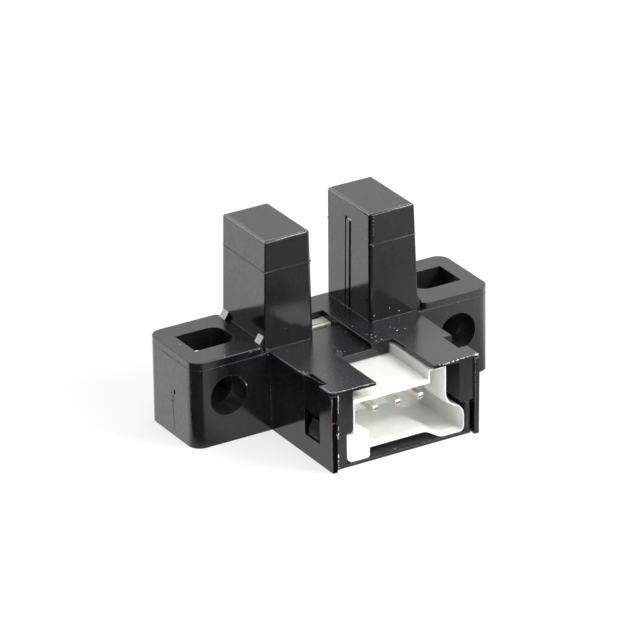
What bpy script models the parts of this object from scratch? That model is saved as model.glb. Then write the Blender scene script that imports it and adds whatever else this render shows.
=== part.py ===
"""Slotted optical switch with a side-entry connector.

A moulded black housing has two hollow arms with a slot between them and a mounting ear on
each flank. The emitter stands in the left arm and the detector in the right arm, and each
looks into the slot through a narrow slit. Both are soldered to a small board under the arms.
A white three-pin connector lies in the bay in front of the board, and a cover snaps in from
below. X runs from the left arm to the right arm, -Y is the connector's side and +Z is up.
The origin is the middle of the footprint on the bottom face. The sizes below are millimetres.
"""
import math

import bmesh
import bpy

MM = 0.001
ARC_STEPS = 8
HOLE_SIDES = 48
ROUND_SIDES = 24
SMALLEST_RADIUS = 0.01
SMOOTH_ANGLE = 35

# Housing block
BODY_DEPTH = 15.60
BODY_HEIGHT = 6.555
BODY_HALF_BOTTOM = 6.45
BODY_HALF_TOP = 6.53
SIDE_WALL = 0.40
BACK_WALL = 0.50
CEILING = 0.805

# Arms beside the slot
SLOT_WIDTH = 5.0
SLOT_DRAFT = 0.14
ARM_THICKNESS = 4.34
ARM_OUTER_DRAFT = 0.265
ARM_DEPTH = 6.17
ARM_LEAN = 0.13
ARM_HEIGHT = 8.905
ARM_BACK_STEP = 0.28
ARM_WALL = 0.55
SLIT_WIDTH = 0.86
SLIT_GAP = 0.36
SLIT_STEP = 0.12
SLIT_FROM_BACK = 2.92
SLIT_DROP = 1.36
SLIT_SILL = 0.05

# Mounting ears
EAR_SPAN = 26.4
EAR_DEPTH = 6.96
EAR_HEIGHT = 7.11
EAR_BACK_STEP = 0.20
EAR_CORNER = 1.0
NECK_STEP = 0.23
NECK_CORNER = 0.45
HOLE_DIAMETER = 3.2
HOLE_PITCH = 20.34
HOLE_HEIGHT = 3.9
POCKET_LENGTH = 3.72
POCKET_WIDTH = 3.05
POCKET_SHIFT = 0.21
POCKET_BACK_SHIFT = 0.125
POCKET_FLOOR = 2.2
POCKET_CORNER = 1.0
GUSSET_REACH = 0.36
GUSSET_RISE = 0.54
GUSSET_WIDTH = 0.80
GUSSET_INSET = 0.12

# Bay for the connector, with a flap of roof on each side
BAY_TO_ARM = 3.23
BAY_WALL = 0.50
FLAP = 0.27
FLAP_SETBACK = 0.12
FLAP_CORNER_LEFT = 0.5
FLAP_CORNER_RIGHT = 0.2
MOUTH_LEFT = 2.57
MOUTH_RIGHT = 2.50
RIB_INNER_LEFT = 4.61
RIB_INNER_RIGHT = 4.78
RIB_CORNER = 0.3
RIB_GAP = 0.33
WINDOW_START = 1.82
WINDOW_LENGTH = 2.15
WINDOW_SILL = 1.7
WINDOW_BOTTOM_X = 5.80

# Sunken floor between the arms, with an opening over the indicator
RECESS_LEFT = 1.95
RECESS_RIGHT = 0.62
RECESS_DEPTH = 0.455
RECESS_FROM_BACK = 2.3
OPENING_LENGTH = 2.0

# Bottom cover
COVER_PLATE = 0.22
COVER_SETBACK = 0.37
COVER_GAP = 0.15
STILE_GAP = 0.05
STILE_OUTER = 5.85
STILE_GAP_TOP = 0.15
HOOK_LENGTH = 1.45
HOOK_REACH = 0.50
HOOK_CATCH = 0.08
HOOK_LAND = 0.55
HOOK_RISE = 1.32
POST_SIDE = 0.70
POST_INSET = 0.65
REAR_POST_X = 2.50
SEAT_GAP = 0.06
TONGUE_HALF = 2.0
TONGUE_LOW = 0.90
TONGUE_HEIGHT = 0.60
TONGUE_REACH = 0.30
TONGUE_GAP = 0.10

# Connector header, with its feet measured from its own bottom face upwards
HEADER_SETBACK = 0.44
HEADER_TO_ARM = 1.81
HEADER_TOP_GAP = 0.08
KEY_GAP = 0.15
HEADER_WALL = 0.22
HEADER_ROOF_EXTRA = 0.09
HEADER_BACK_WALL = 1.50
FLARE_WALL = 0.10
FLARE_DEPTH = 0.60
KEY_DROP = 0.145
HEADER_BODY_BOTTOM = 0.82
HEADER_LEFT = 4.37
HEADER_RIGHT = 3.78
KEY_LEFT = 2.26
KEY_RISE = 0.78
FOOT_LEFT = 4.97
FOOT_LEFT_INNER = 2.97
FOOT_LEFT_TOP = 2.29
FOOT_LEFT_CORNER = 0.55
FOOT_STEP_CORNER = 0.20
RIDGE_DROP = 0.07
RIDGE_INSET = 0.10
FOOT_RIGHT = 5.40
FOOT_RIGHT_CORNER = 0.40
FOOT_CROWN_CENTRE = 1.27
FOOT_CROWN = 1.25
WAIST = 1.25
RAMP_START = 1.70
RAMP_END = 3.60

# Pins, leads and solder
PIN_COUNT = 3
PIN_PITCH = 2.0
PIN_CENTRE = 0.03
PIN_SIDE = 0.50
PIN_DROP = 1.63
PIN_SETBACK = 0.75
PIN_POINT = 0.12
PIN_BEND = 0.45
PIN_FROM_EDGE = 0.85
PIN_CLEARANCE = 0.05
LEAD_SIDE = 0.45
LEAD_CLEARANCE = 0.04
LEAD_TAIL = 0.65
LEAD_SEAT = 1.2
LEAD_FROM_FACE = 1.35
SOLDER_RADIUS = 0.72
SOLDER_HEIGHT = 0.20
SOLDER_TAIL = 0.45
SOLDER_GAP = 0.03
SOLDER_NECK = 0.12
SOLDER_LIP = 0.05
SOLDER_SHOULDER = 0.75

# Circuit board and what it carries
BOARD_DROP = 0.30
BOARD_THICKNESS = 0.80
BOARD_EDGE_GAP = 0.15
BOARD_HOLE = 0.90
PACKAGE_WIDTH = 4.5
PACKAGE_THICKNESS = 2.1
PACKAGE_HEIGHT = 5.0
PACKAGE_FROM_TOP = 0.86
PACKAGE_FACE_GAP = 0.50
PACKAGE_CHAMFER = 0.25
LENS_RADIUS = 0.95
LENS_PROUD = 0.38
LENS_FROM_TOP = 2.0
EMITTER_PITCH = 2.54
DETECTOR_PITCH = 1.27
CHIP_GAP = 0.02
TERMINAL_STEP = 0.03
INDICATOR = (2.0, 1.20, 0.60)
RESISTOR = (1.6, 0.80, 0.45)
CAPACITOR = (2.0, 1.25, 0.85)
CHIP_TERMINAL = 0.35
INDICATOR_X = -0.42
INDICATOR_FROM_BACK = 3.0
CHIP_PITCH = 3.0
CHIP_FROM_EDGE = 2.6

# Planes that follow from the sizes above
DEPTH = BODY_DEPTH + EAR_BACK_STEP
FRONT = -DEPTH / 2
BACK = FRONT + BODY_DEPTH
INNER_HALF = BODY_HALF_BOTTOM - SIDE_WALL
INNER_BACK = BACK - BACK_WALL
CEILING_Z = BODY_HEIGHT - CEILING
ARM_BACK = BACK - ARM_BACK_STEP
ARM_FRONT = ARM_BACK - ARM_DEPTH
ARM_TOP = BODY_HEIGHT + ARM_HEIGHT
SLOT_HALF = SLOT_WIDTH / 2
ARM_OUTER = SLOT_HALF + ARM_THICKNESS
SLIT_Y = ARM_BACK - SLIT_FROM_BACK
EAR_BACK = BACK + EAR_BACK_STEP
EAR_FRONT = EAR_BACK - EAR_DEPTH
EAR_HALF = EAR_SPAN / 2
BAY_BACK = ARM_FRONT - BAY_TO_ARM
FLAP_Z = BODY_HEIGHT - FLAP
FLAP_FRONT = FRONT + FLAP_SETBACK
HEADER_Z = COVER_PLATE + SEAT_GAP
HEADER_FRONT = FRONT + HEADER_SETBACK
HEADER_REAR = ARM_FRONT - HEADER_TO_ARM
CAVITY_BACK = HEADER_REAR - HEADER_BACK_WALL
KEY_TOP_Z = FLAP_Z - KEY_DROP
HEADER_TOP_Z = KEY_TOP_Z - KEY_RISE
RIB_BOTTOM = HEADER_Z + FOOT_LEFT_TOP + RIB_GAP
STILE_TOP = RIB_BOTTOM - STILE_GAP_TOP
BOARD_TOP = CEILING_Z - BOARD_DROP
BOARD_BOTTOM = BOARD_TOP - BOARD_THICKNESS
BOARD_FRONT = HEADER_REAR + BOARD_EDGE_GAP
BOARD_BACK = INNER_BACK - BOARD_EDGE_GAP
BOARD_HALF = INNER_HALF - BOARD_EDGE_GAP
COVER_FRONT = FRONT + COVER_SETBACK
COVER_BACK = INNER_BACK - COVER_GAP
COVER_HALF = INNER_HALF - COVER_GAP
PIN_Z = HEADER_TOP_Z - PIN_DROP
PIN_BEND_Y = BOARD_FRONT + PIN_FROM_EDGE
BAY_WALL_BOTTOM = HEADER_TOP_Z + HEADER_TOP_GAP
CAVITY_INNER = SLOT_HALF + ARM_WALL
PACKAGE_TOP = ARM_TOP - PACKAGE_FROM_TOP
PACKAGE_BOTTOM = PACKAGE_TOP - PACKAGE_HEIGHT
PACKAGE_FACE = CAVITY_INNER + PACKAGE_FACE_GAP
LEAD_X = PACKAGE_FACE + LEAD_FROM_FACE
FRONT_POST = (INNER_HALF - POST_INSET, BOARD_FRONT + POST_INSET)
REAR_POST = (REAR_POST_X, BOARD_BACK - POST_INSET)
OVERSHOOT = 1.0
ROOT = 0.25


def clear_scene():
    for item in list(bpy.data.objects):
        bpy.data.objects.remove(item, do_unlink=True)


def make_material(name, color, roughness, metallic=0.0):
    material = bpy.data.materials.new(name)
    material.use_nodes = True
    shader = material.node_tree.nodes["Principled BSDF"]
    shader.inputs["Base Color"].default_value = (*color, 1.0)
    shader.inputs["Roughness"].default_value = roughness
    shader.inputs["Metallic"].default_value = metallic
    return material


def make_object(name, shape, material=None, smooth=False):
    """Turn a shape in millimetres into an object in metres."""
    bmesh.ops.recalc_face_normals(shape, faces=shape.faces)
    bmesh.ops.scale(shape, vec=(MM, MM, MM), verts=shape.verts)
    mesh = bpy.data.meshes.new(name)
    shape.to_mesh(mesh)
    shape.free()
    if smooth:
        mesh.shade_smooth()
        mesh.set_sharp_from_angle(angle=math.radians(SMOOTH_ANGLE))
    if material is not None:
        mesh.materials.append(material)
    item = bpy.data.objects.new(name, mesh)
    bpy.context.scene.collection.objects.link(item)
    return item


def combine(body, shape, label, operation):
    """Join a shape to the body, or take it away, with a Boolean modifier."""
    tool = make_object(body.name + "_" + label, shape)
    tool.hide_render = True
    tool.display_type = "WIRE"
    modifier = body.modifiers.new(label, "BOOLEAN")
    modifier.operation = operation
    modifier.solver = "EXACT"
    modifier.object = tool


def add(body, shape, label):
    combine(body, shape, label, "UNION")


def cut(body, shape, label):
    combine(body, shape, label, "DIFFERENCE")


def place(axis, u, v, w):
    """Give the point at (u, v) in the plane across an axis, at w along it."""
    return {"X": (w, u, v), "Y": (u, w, v), "Z": (u, v, w)}[axis]


def loft(first, second, axis, low, high, shape=None):
    """Join two outlines that have the same number of points."""
    shape = shape or bmesh.new()
    ends = []
    for outline, level in ((first, low), (second, high)):
        ring = [shape.verts.new(place(axis, u, v, level)) for u, v in outline]
        shape.faces.new(ring)
        ends.append(ring)
    for index in range(len(first)):
        following = (index + 1) % len(first)
        quad = (ends[0][index], ends[0][following], ends[1][following], ends[1][index])
        shape.faces.new(quad)
    return shape


def prism(outline, axis, low, high, shape=None):
    """Extrude an outline along X, Y or Z."""
    return loft(outline, outline, axis, low, high, shape)


def box(x0, x1, y0, y1, z0, z1, shape=None):
    return prism([(x0, y0), (x1, y0), (x1, y1), (x0, y1)], "Z", z0, z1, shape)


def tapered_box(lower, upper, z0, z1):
    """Join two rectangles, each given as x0, x1, y0, y1."""
    corners = [((x0, y0), (x1, y0), (x1, y1), (x0, y1)) for x0, x1, y0, y1 in (lower, upper)]
    return loft(corners[0], corners[1], "Z", z0, z1)


def arc(u, v, radius, start, end, steps=ARC_STEPS):
    """Points on an arc, in degrees. A radius of nothing gives its one corner point."""
    if radius <= SMALLEST_RADIUS:
        return [(u, v)]
    angles = [math.radians(start + (end - start) * step / steps) for step in range(steps + 1)]
    return [(u + radius * math.cos(angle), v + radius * math.sin(angle)) for angle in angles]


def circle(u, v, radius, sides=HOLE_SIDES):
    return arc(u, v, radius, 0, 360 * (sides - 1) / sides, sides - 1)


def mirrored(outline, side):
    return [(side * u, v) for u, v in outline]


def span(side, inner, outer):
    """Lowest and highest X of a stretch that lies on one side."""
    return sorted((side * inner, side * outer))


def pin_places():
    first = PIN_CENTRE - PIN_PITCH * (PIN_COUNT - 1) / 2
    return [first + PIN_PITCH * index for index in range(PIN_COUNT)]


def lead_places(pitch, count):
    first = SLIT_Y - pitch * (count - 1) / 2
    return [first + pitch * index for index in range(count)]


def block_shape():
    lower = (-BODY_HALF_BOTTOM, BODY_HALF_BOTTOM, FRONT, BACK)
    upper = (-BODY_HALF_TOP, BODY_HALF_TOP, FRONT, BACK)
    return tapered_box(lower, upper, 0, BODY_HEIGHT)


def arm_shape(side):
    """One arm, leaning back a little, with draft on both flanks. It starts inside the roof."""
    root = -CEILING / 2
    slope_in = SLOT_DRAFT / ARM_HEIGHT
    slope_out = ARM_OUTER_DRAFT / ARM_HEIGHT
    slope_back = ARM_LEAN / ARM_HEIGHT
    sections = []
    for rise in (root, ARM_HEIGHT):
        inner = SLOT_HALF + slope_in * rise
        outer = ARM_OUTER - slope_out * rise
        lean = slope_back * rise
        x0, x1 = span(side, inner, outer)
        sections.append((x0, x1, ARM_FRONT + lean, ARM_BACK + lean))
    return tapered_box(sections[0], sections[1], BODY_HEIGHT + root, ARM_TOP)


def ear_foot_shape(side):
    """The ear's lower part, from the side wall out, up to the level of the block's roof."""
    outer = EAR_HALF - EAR_CORNER
    outline = [(INNER_HALF + SIDE_WALL / 3, EAR_FRONT)]
    outline += arc(outer, EAR_FRONT + EAR_CORNER, EAR_CORNER, -90, 0)
    outline += arc(outer, EAR_BACK - EAR_CORNER, EAR_CORNER, 0, 90)
    outline.append((INNER_HALF + SIDE_WALL / 3, EAR_BACK))
    return prism(mirrored(outline, side), "Z", 0, BODY_HEIGHT)


def ear_head_shape(side):
    """The ear's upper part, which stands above the roof and ends in round corners by the arm."""
    outer = EAR_HALF - EAR_CORNER
    inner = ARM_OUTER + NECK_STEP + NECK_CORNER
    outline = arc(inner, EAR_FRONT + NECK_CORNER, NECK_CORNER, 180, 270)
    outline += arc(outer, EAR_FRONT + EAR_CORNER, EAR_CORNER, -90, 0)
    outline += arc(outer, EAR_BACK - EAR_CORNER, EAR_CORNER, 0, 90)
    outline += arc(inner, EAR_BACK - NECK_CORNER, NECK_CORNER, 90, 180)
    return prism(mirrored(outline, side), "Z", BODY_HEIGHT - ROOT, EAR_HEIGHT)


def neck_shape(side):
    """The short web between the ear's upper part and the arm's flank."""
    x0, x1 = span(side, ARM_OUTER - ROOT, ARM_OUTER + NECK_STEP + NECK_CORNER)
    front = ARM_FRONT + GUSSET_INSET
    back = ARM_BACK - GUSSET_INSET / 4
    return box(x0, x1, front, back, BODY_HEIGHT - ROOT, EAR_HEIGHT)


def gusset_shape(side):
    """Two small sloped wedges that brace the arm on the ear."""
    slope = GUSSET_REACH / GUSSET_RISE
    low = EAR_HEIGHT - ROOT
    foot = ARM_OUTER + GUSSET_REACH + slope * ROOT
    head = EAR_HEIGHT + GUSSET_RISE + ROOT / slope
    outline = mirrored([(ARM_OUTER - ROOT, low), (foot, low), (ARM_OUTER - ROOT, head)], side)
    front = ARM_FRONT + GUSSET_INSET
    back = ARM_BACK - GUSSET_INSET / 2
    shape = prism(outline, "Y", front, front + GUSSET_WIDTH)
    return prism(outline, "Y", back - GUSSET_WIDTH, back, shape)


def interior_shape():
    """The room for the board and the bay in front of it, open below and to the front."""
    low = -OVERSHOOT
    ahead = FRONT - OVERSHOOT
    wall_back = BAY_BACK + BAY_WALL
    outline = [(ahead, low), (INNER_BACK, low), (INNER_BACK, CEILING_Z), (wall_back, CEILING_Z)]
    outline += [(wall_back, BAY_WALL_BOTTOM), (BAY_BACK, BAY_WALL_BOTTOM)]
    outline += [(BAY_BACK, FLAP_Z), (ahead, FLAP_Z)]
    return prism(outline, "X", -INNER_HALF, INNER_HALF)


def arm_room_shape(side):
    """The hollow of one arm, which opens into the room for the board."""
    x0, x1 = span(side, CAVITY_INNER, INNER_HALF)
    return box(x0, x1, ARM_FRONT + ARM_WALL, ARM_BACK - ARM_WALL, CEILING_Z - ROOT, ARM_TOP - ARM_WALL)


def slit_shape(side):
    """The narrow gap that lets the light through, in front of a shallow step in the arm's face."""
    low = BODY_HEIGHT + SLIT_SILL
    high = ARM_TOP - SLIT_DROP
    front = SLIT_Y - SLIT_WIDTH / 2
    deep = CAVITY_INNER + ROOT
    outlines = []
    for z in (low, high):
        face = SLOT_HALF + SLOT_DRAFT * (z - BODY_HEIGHT) / ARM_HEIGHT
        step = face + SLIT_STEP
        outline = [(SLOT_HALF - ROOT, front), (deep, front), (deep, front + SLIT_GAP)]
        outline += [(step, front + SLIT_GAP), (step, front + SLIT_WIDTH)]
        outline.append((SLOT_HALF - ROOT, front + SLIT_WIDTH))
        outlines.append(mirrored(outline, side))
    return loft(outlines[0], outlines[1], "Z", low, high)


def ear_hole_shape(side):
    outline = circle(side * HOLE_PITCH / 2, HOLE_HEIGHT, HOLE_DIAMETER / 2)
    return prism(outline, "Y", EAR_FRONT - OVERSHOOT, EAR_BACK + OVERSHOOT)


def ear_pocket_shape(side):
    """The deep pocket in the ear's top, round at the corners towards the arm."""
    middle = HOLE_PITCH / 2 - POCKET_SHIFT
    inner = middle - POCKET_LENGTH / 2
    outer = middle + POCKET_LENGTH / 2
    centre = (EAR_FRONT + EAR_BACK) / 2 + POCKET_BACK_SHIFT
    front = centre - POCKET_WIDTH / 2
    back = centre + POCKET_WIDTH / 2
    outline = [(outer, front), (outer, back)]
    outline += arc(inner + POCKET_CORNER, back - POCKET_CORNER, POCKET_CORNER, 90, 180)
    outline += arc(inner + POCKET_CORNER, front + POCKET_CORNER, POCKET_CORNER, 180, 270)
    return prism(mirrored(outline, side), "Z", POCKET_FLOOR, EAR_HEIGHT + OVERSHOOT)


def mouth_shape():
    """The opening between the two roof flaps, above the connector."""
    ahead = FRONT - OVERSHOOT
    return box(-MOUTH_LEFT, MOUTH_RIGHT, ahead, BAY_BACK, FLAP_Z - ROOT, BODY_HEIGHT + OVERSHOOT)


def flap_edge_shape():
    """What is taken off the flaps' front edge, with the two outer corners left round."""
    ahead = FRONT - OVERSHOOT
    side = BODY_HALF_TOP + OVERSHOOT
    left = BODY_HALF_TOP - FLAP_CORNER_LEFT
    right = BODY_HALF_TOP - FLAP_CORNER_RIGHT
    outline = [(-side, ahead), (side, ahead), (side, FLAP_FRONT + FLAP_CORNER_RIGHT)]
    outline += arc(right, FLAP_FRONT + FLAP_CORNER_RIGHT, FLAP_CORNER_RIGHT, 0, -90)
    outline += arc(-left, FLAP_FRONT + FLAP_CORNER_LEFT, FLAP_CORNER_LEFT, -90, -180)
    outline.append((-side, FLAP_FRONT + FLAP_CORNER_LEFT))
    return prism(outline, "Z", FLAP_Z, BODY_HEIGHT + OVERSHOOT)


def rib_shape(side):
    """A rib under the flap that holds the connector's foot down, round at its inner corner."""
    inner = RIB_INNER_LEFT if side < 0 else RIB_INNER_RIGHT
    corner = inner + RIB_CORNER
    outline = [(inner, FLAP_Z + FLAP / 2)]
    outline += arc(corner, RIB_BOTTOM + RIB_CORNER, RIB_CORNER, 180, 270)
    outline += [(INNER_HALF + SIDE_WALL / 3, RIB_BOTTOM), (INNER_HALF + SIDE_WALL / 3, FLAP_Z + FLAP / 2)]
    return prism(mirrored(outline, side), "Y", FLAP_FRONT, BAY_BACK + BAY_WALL / 2)


def window_shape(side):
    x0, x1 = span(side, WINDOW_BOTTOM_X, BODY_HALF_TOP + OVERSHOOT)
    start = FRONT + WINDOW_START
    return box(x0, x1, start, start + WINDOW_LENGTH, WINDOW_SILL, BODY_HEIGHT + OVERSHOOT)


def key_room_shape():
    """Room under the roof for the raised side of the connector."""
    left = KEY_LEFT - KEY_GAP
    right = HEADER_RIGHT + KEY_GAP
    return box(left, right, BAY_BACK - ROOT, BOARD_FRONT, BAY_WALL_BOTTOM - ROOT, FLAP_Z)


def recess_shape():
    """The sunken strip of floor between the arms and the opening at its back end."""
    floor = BODY_HEIGHT - RECESS_DEPTH
    back = ARM_BACK - RECESS_FROM_BACK
    front = back - OPENING_LENGTH
    above = BODY_HEIGHT + OVERSHOOT
    ahead = BAY_BACK - ROOT
    below = CEILING_Z - ROOT
    outline = [(ahead, floor), (front, floor), (front, below), (back, below), (back, above), (ahead, above)]
    return prism(outline, "X", -RECESS_LEFT, RECESS_RIGHT)


def pad_shape():
    """Four pads under the ceiling that the board is held against."""
    shape = bmesh.new()
    half = POST_SIDE / 2
    for side in (-1, 1):
        for x, y in (FRONT_POST, REAR_POST):
            x0, x1 = side * x - half, side * x + half
            box(x0, x1, y - half, y + half, BOARD_TOP + SEAT_GAP, CEILING_Z + ROOT, shape)
    return shape


def tongue_slot_shape():
    half = TONGUE_HALF + TONGUE_GAP
    high = TONGUE_LOW + TONGUE_HEIGHT + TONGUE_GAP
    return box(-half, half, INNER_BACK - ROOT, BACK + OVERSHOOT, TONGUE_LOW - TONGUE_GAP, high)


def make_housing(material):
    body = make_object("housing", block_shape(), material)
    for side, label in ((-1, "left"), (1, "right")):
        add(body, arm_shape(side), label + "_arm")
        add(body, ear_foot_shape(side), label + "_ear_foot")
        add(body, ear_head_shape(side), label + "_ear_head")
        add(body, neck_shape(side), label + "_neck")
        add(body, gusset_shape(side), label + "_gussets")
    cut(body, interior_shape(), "interior")
    cut(body, key_room_shape(), "key_room")
    add(body, pad_shape(), "pads")
    for side, label in ((-1, "left"), (1, "right")):
        add(body, rib_shape(side), label + "_rib")
        cut(body, arm_room_shape(side), label + "_arm_room")
        cut(body, slit_shape(side), label + "_slit")
        cut(body, ear_hole_shape(side), label + "_hole")
        cut(body, ear_pocket_shape(side), label + "_pocket")
        cut(body, window_shape(side), label + "_window")
    cut(body, mouth_shape(), "mouth")
    cut(body, flap_edge_shape(), "flap_edge")
    cut(body, recess_shape(), "recess")
    cut(body, tongue_slot_shape(), "tongue_slot")
    return body


def stile_shape(side):
    """The cover's side wall beside the connector's foot."""
    foot = FOOT_LEFT if side < 0 else FOOT_RIGHT
    x0, x1 = span(side, foot + STILE_GAP, STILE_OUTER)
    return box(x0, x1, COVER_FRONT, HEADER_REAR, COVER_PLATE / 2, STILE_TOP)


def hook_shape(side):
    """The snap hook on the stile, which catches on the window's lower edge."""
    low = WINDOW_SILL + HOOK_CATCH
    reach = STILE_OUTER + HOOK_REACH
    top = low + HOOK_RISE
    beside = STILE_OUTER + SEAT_GAP
    root = STILE_OUTER - ROOT / 2
    outline = [(root, low), (reach, low), (reach, low + HOOK_LAND), (beside + SEAT_GAP, top)]
    outline += [(beside, top), (beside, STILE_TOP - SEAT_GAP), (root, STILE_TOP - SEAT_GAP)]
    middle = FRONT + WINDOW_START + WINDOW_LENGTH / 2
    return prism(mirrored(outline, side), "Y", middle - HOOK_LENGTH / 2, middle + HOOK_LENGTH / 2)


def post_shape():
    """Four posts that carry the board from below."""
    shape = bmesh.new()
    half = POST_SIDE / 2
    for side in (-1, 1):
        for x, y in (FRONT_POST, REAR_POST):
            x0, x1 = side * x - half, side * x + half
            box(x0, x1, y - half, y + half, COVER_PLATE / 2, BOARD_BOTTOM - SEAT_GAP, shape)
    return shape


def tongue_shape():
    """The cover's low rear wall with the tongue that snaps into the housing's back."""
    high = TONGUE_LOW + TONGUE_HEIGHT
    thickness = 2 * COVER_PLATE
    outline = [(COVER_BACK - thickness, COVER_PLATE / 2), (COVER_BACK, COVER_PLATE / 2)]
    outline += [(COVER_BACK, TONGUE_LOW), (INNER_BACK + TONGUE_REACH, TONGUE_LOW)]
    outline += [(INNER_BACK + TONGUE_REACH, TONGUE_LOW + TONGUE_HEIGHT / 3), (COVER_BACK, high)]
    outline.append((COVER_BACK - thickness, high))
    return prism(outline, "X", -TONGUE_HALF, TONGUE_HALF)


def make_cover(material):
    plate = box(-COVER_HALF, COVER_HALF, COVER_FRONT, COVER_BACK, 0, COVER_PLATE)
    cover = make_object("bottom_cover", plate, material)
    for side, label in ((-1, "left"), (1, "right")):
        add(cover, stile_shape(side), label + "_stile")
        add(cover, hook_shape(side), label + "_hook")
    add(cover, post_shape(), "posts")
    add(cover, tongue_shape(), "tongue")
    return cover


def ramp(x0, x1, z0, z1, steps=ARC_STEPS):
    """A soft S-shaped slope between two levels."""
    points = []
    for step in range(steps + 1):
        share = step / steps
        blend = (1 - math.cos(math.pi * share)) / 2
        points.append((x0 + (x1 - x0) * share, z0 + (z1 - z0) * blend))
    return points


def foot_outline(wall):
    """The connector's left foot. It is solid, so inside the cavity it stands up as a ridge."""
    if wall:
        ridge = HEADER_Z + FOOT_LEFT_TOP - RIDGE_DROP
        right = -FOOT_LEFT_INNER - RIDGE_INSET
        return [(-HEADER_LEFT + wall, ridge), (right, ridge), (right, HEADER_Z + HEADER_BODY_BOTTOM + wall)]
    left = FOOT_LEFT - FOOT_LEFT_CORNER
    step = -FOOT_LEFT_INNER - FOOT_STEP_CORNER
    top = HEADER_Z + FOOT_LEFT_TOP
    outline = [(-HEADER_LEFT, top), (-FOOT_LEFT, top)]
    outline += arc(-left, HEADER_Z + FOOT_LEFT_CORNER, FOOT_LEFT_CORNER, 180, 270)
    outline += arc(step, HEADER_Z + FOOT_STEP_CORNER, FOOT_STEP_CORNER, -90, 0)
    outline.append((-FOOT_LEFT_INNER, HEADER_Z + HEADER_BODY_BOTTOM))
    return outline


def header_outline(wall, roof):
    """The connector's front outline, set in by a wall all round and by the roof's thickness."""
    bottom = HEADER_Z + wall
    body_bottom = HEADER_Z + HEADER_BODY_BOTTOM + wall
    crown_x = FOOT_RIGHT - FOOT_CROWN
    crown_z = HEADER_Z + FOOT_CROWN_CENTRE
    waist_x = HEADER_RIGHT + WAIST
    reach = FOOT_CROWN + WAIST
    waist_z = crown_z + math.sqrt(reach ** 2 - (waist_x - crown_x) ** 2)
    turn = math.degrees(math.atan2(waist_z - crown_z, waist_x - crown_x))
    right = FOOT_RIGHT - FOOT_RIGHT_CORNER
    top = HEADER_TOP_Z - roof
    key_top = KEY_TOP_Z - wall

    outline = foot_outline(wall)
    outline += ramp(RAMP_START, RAMP_END, body_bottom, bottom)
    outline += arc(right, HEADER_Z + FOOT_RIGHT_CORNER, FOOT_RIGHT_CORNER - wall, -90, 0)
    outline += arc(crown_x, crown_z, FOOT_CROWN - wall, 0, turn)
    outline += arc(waist_x, waist_z, WAIST + wall, turn + 180, 180)[1:]
    outline += [(HEADER_RIGHT - wall, key_top), (KEY_LEFT + wall, key_top), (KEY_LEFT + wall, top)]
    outline.append((-HEADER_LEFT + wall, top))
    return outline


def flare_shape():
    """The lead-in round the mouth of the cavity, where the wall thins towards the front."""
    slope = (HEADER_WALL - FLARE_WALL) / FLARE_DEPTH
    outlines = []
    places = (HEADER_FRONT - FLARE_WALL, HEADER_FRONT + FLARE_DEPTH)
    for y in places:
        wall = FLARE_WALL + slope * (y - HEADER_FRONT)
        outlines.append(header_outline(wall, HEADER_WALL + HEADER_ROOF_EXTRA))
    return loft(outlines[0], outlines[1], "Y", places[0], places[1])


def pin_hole_shape():
    shape = bmesh.new()
    half = PIN_SIDE / 2 + PIN_CLEARANCE
    low = CAVITY_BACK - ROOT
    for x in pin_places():
        box(x - half, x + half, low, HEADER_REAR + OVERSHOOT, PIN_Z - half, PIN_Z + half, shape)
    return shape


def make_header(material):
    outline = header_outline(0, 0)
    header = make_object("connector_header", prism(outline, "Y", HEADER_FRONT, HEADER_REAR), material)
    inner = header_outline(HEADER_WALL, HEADER_WALL + HEADER_ROOF_EXTRA)
    cavity = prism(inner, "Y", HEADER_FRONT - OVERSHOOT, CAVITY_BACK)
    cut(header, cavity, "cavity")
    cut(header, flare_shape(), "flare")
    cut(header, pin_hole_shape(), "pin_holes")
    return header


def make_pin(index, x, material):
    """A square pin that runs back from the cavity and turns up through the board."""
    half = PIN_SIDE / 2
    tip = HEADER_FRONT + PIN_SETBACK
    low = PIN_Z - half
    back = PIN_BEND_Y + half
    top = BOARD_TOP + SOLDER_HEIGHT
    outline = [(tip, PIN_Z - half + PIN_POINT), (tip + PIN_POINT, low)]
    outline += arc(back - PIN_BEND, low + PIN_BEND, PIN_BEND, -90, 0)
    outline += [(back, top), (back - PIN_SIDE, top), (back - PIN_SIDE, PIN_Z + half)]
    outline += [(tip + PIN_POINT, PIN_Z + half), (tip, PIN_Z + half - PIN_POINT)]
    return make_object("header_pin_%d" % index, prism(outline, "X", x - half, x + half), material)


def board_hole_shape():
    shape = bmesh.new()
    places = [(x, PIN_BEND_Y) for x in pin_places()]
    places += [(-LEAD_X, y) for y in lead_places(EMITTER_PITCH, 2)]
    places += [(LEAD_X, y) for y in lead_places(DETECTOR_PITCH, 3)]
    low = BOARD_BOTTOM - OVERSHOOT
    for x, y in places:
        prism(circle(x, y, BOARD_HOLE / 2, ROUND_SIDES), "Z", low, BOARD_TOP + OVERSHOOT, shape)
    return shape


def make_board(material):
    plate = box(-BOARD_HALF, BOARD_HALF, BOARD_FRONT, BOARD_BACK, BOARD_BOTTOM, BOARD_TOP)
    board = make_object("circuit_board", plate, material)
    cut(board, board_hole_shape(), "holes")
    return board


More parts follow.
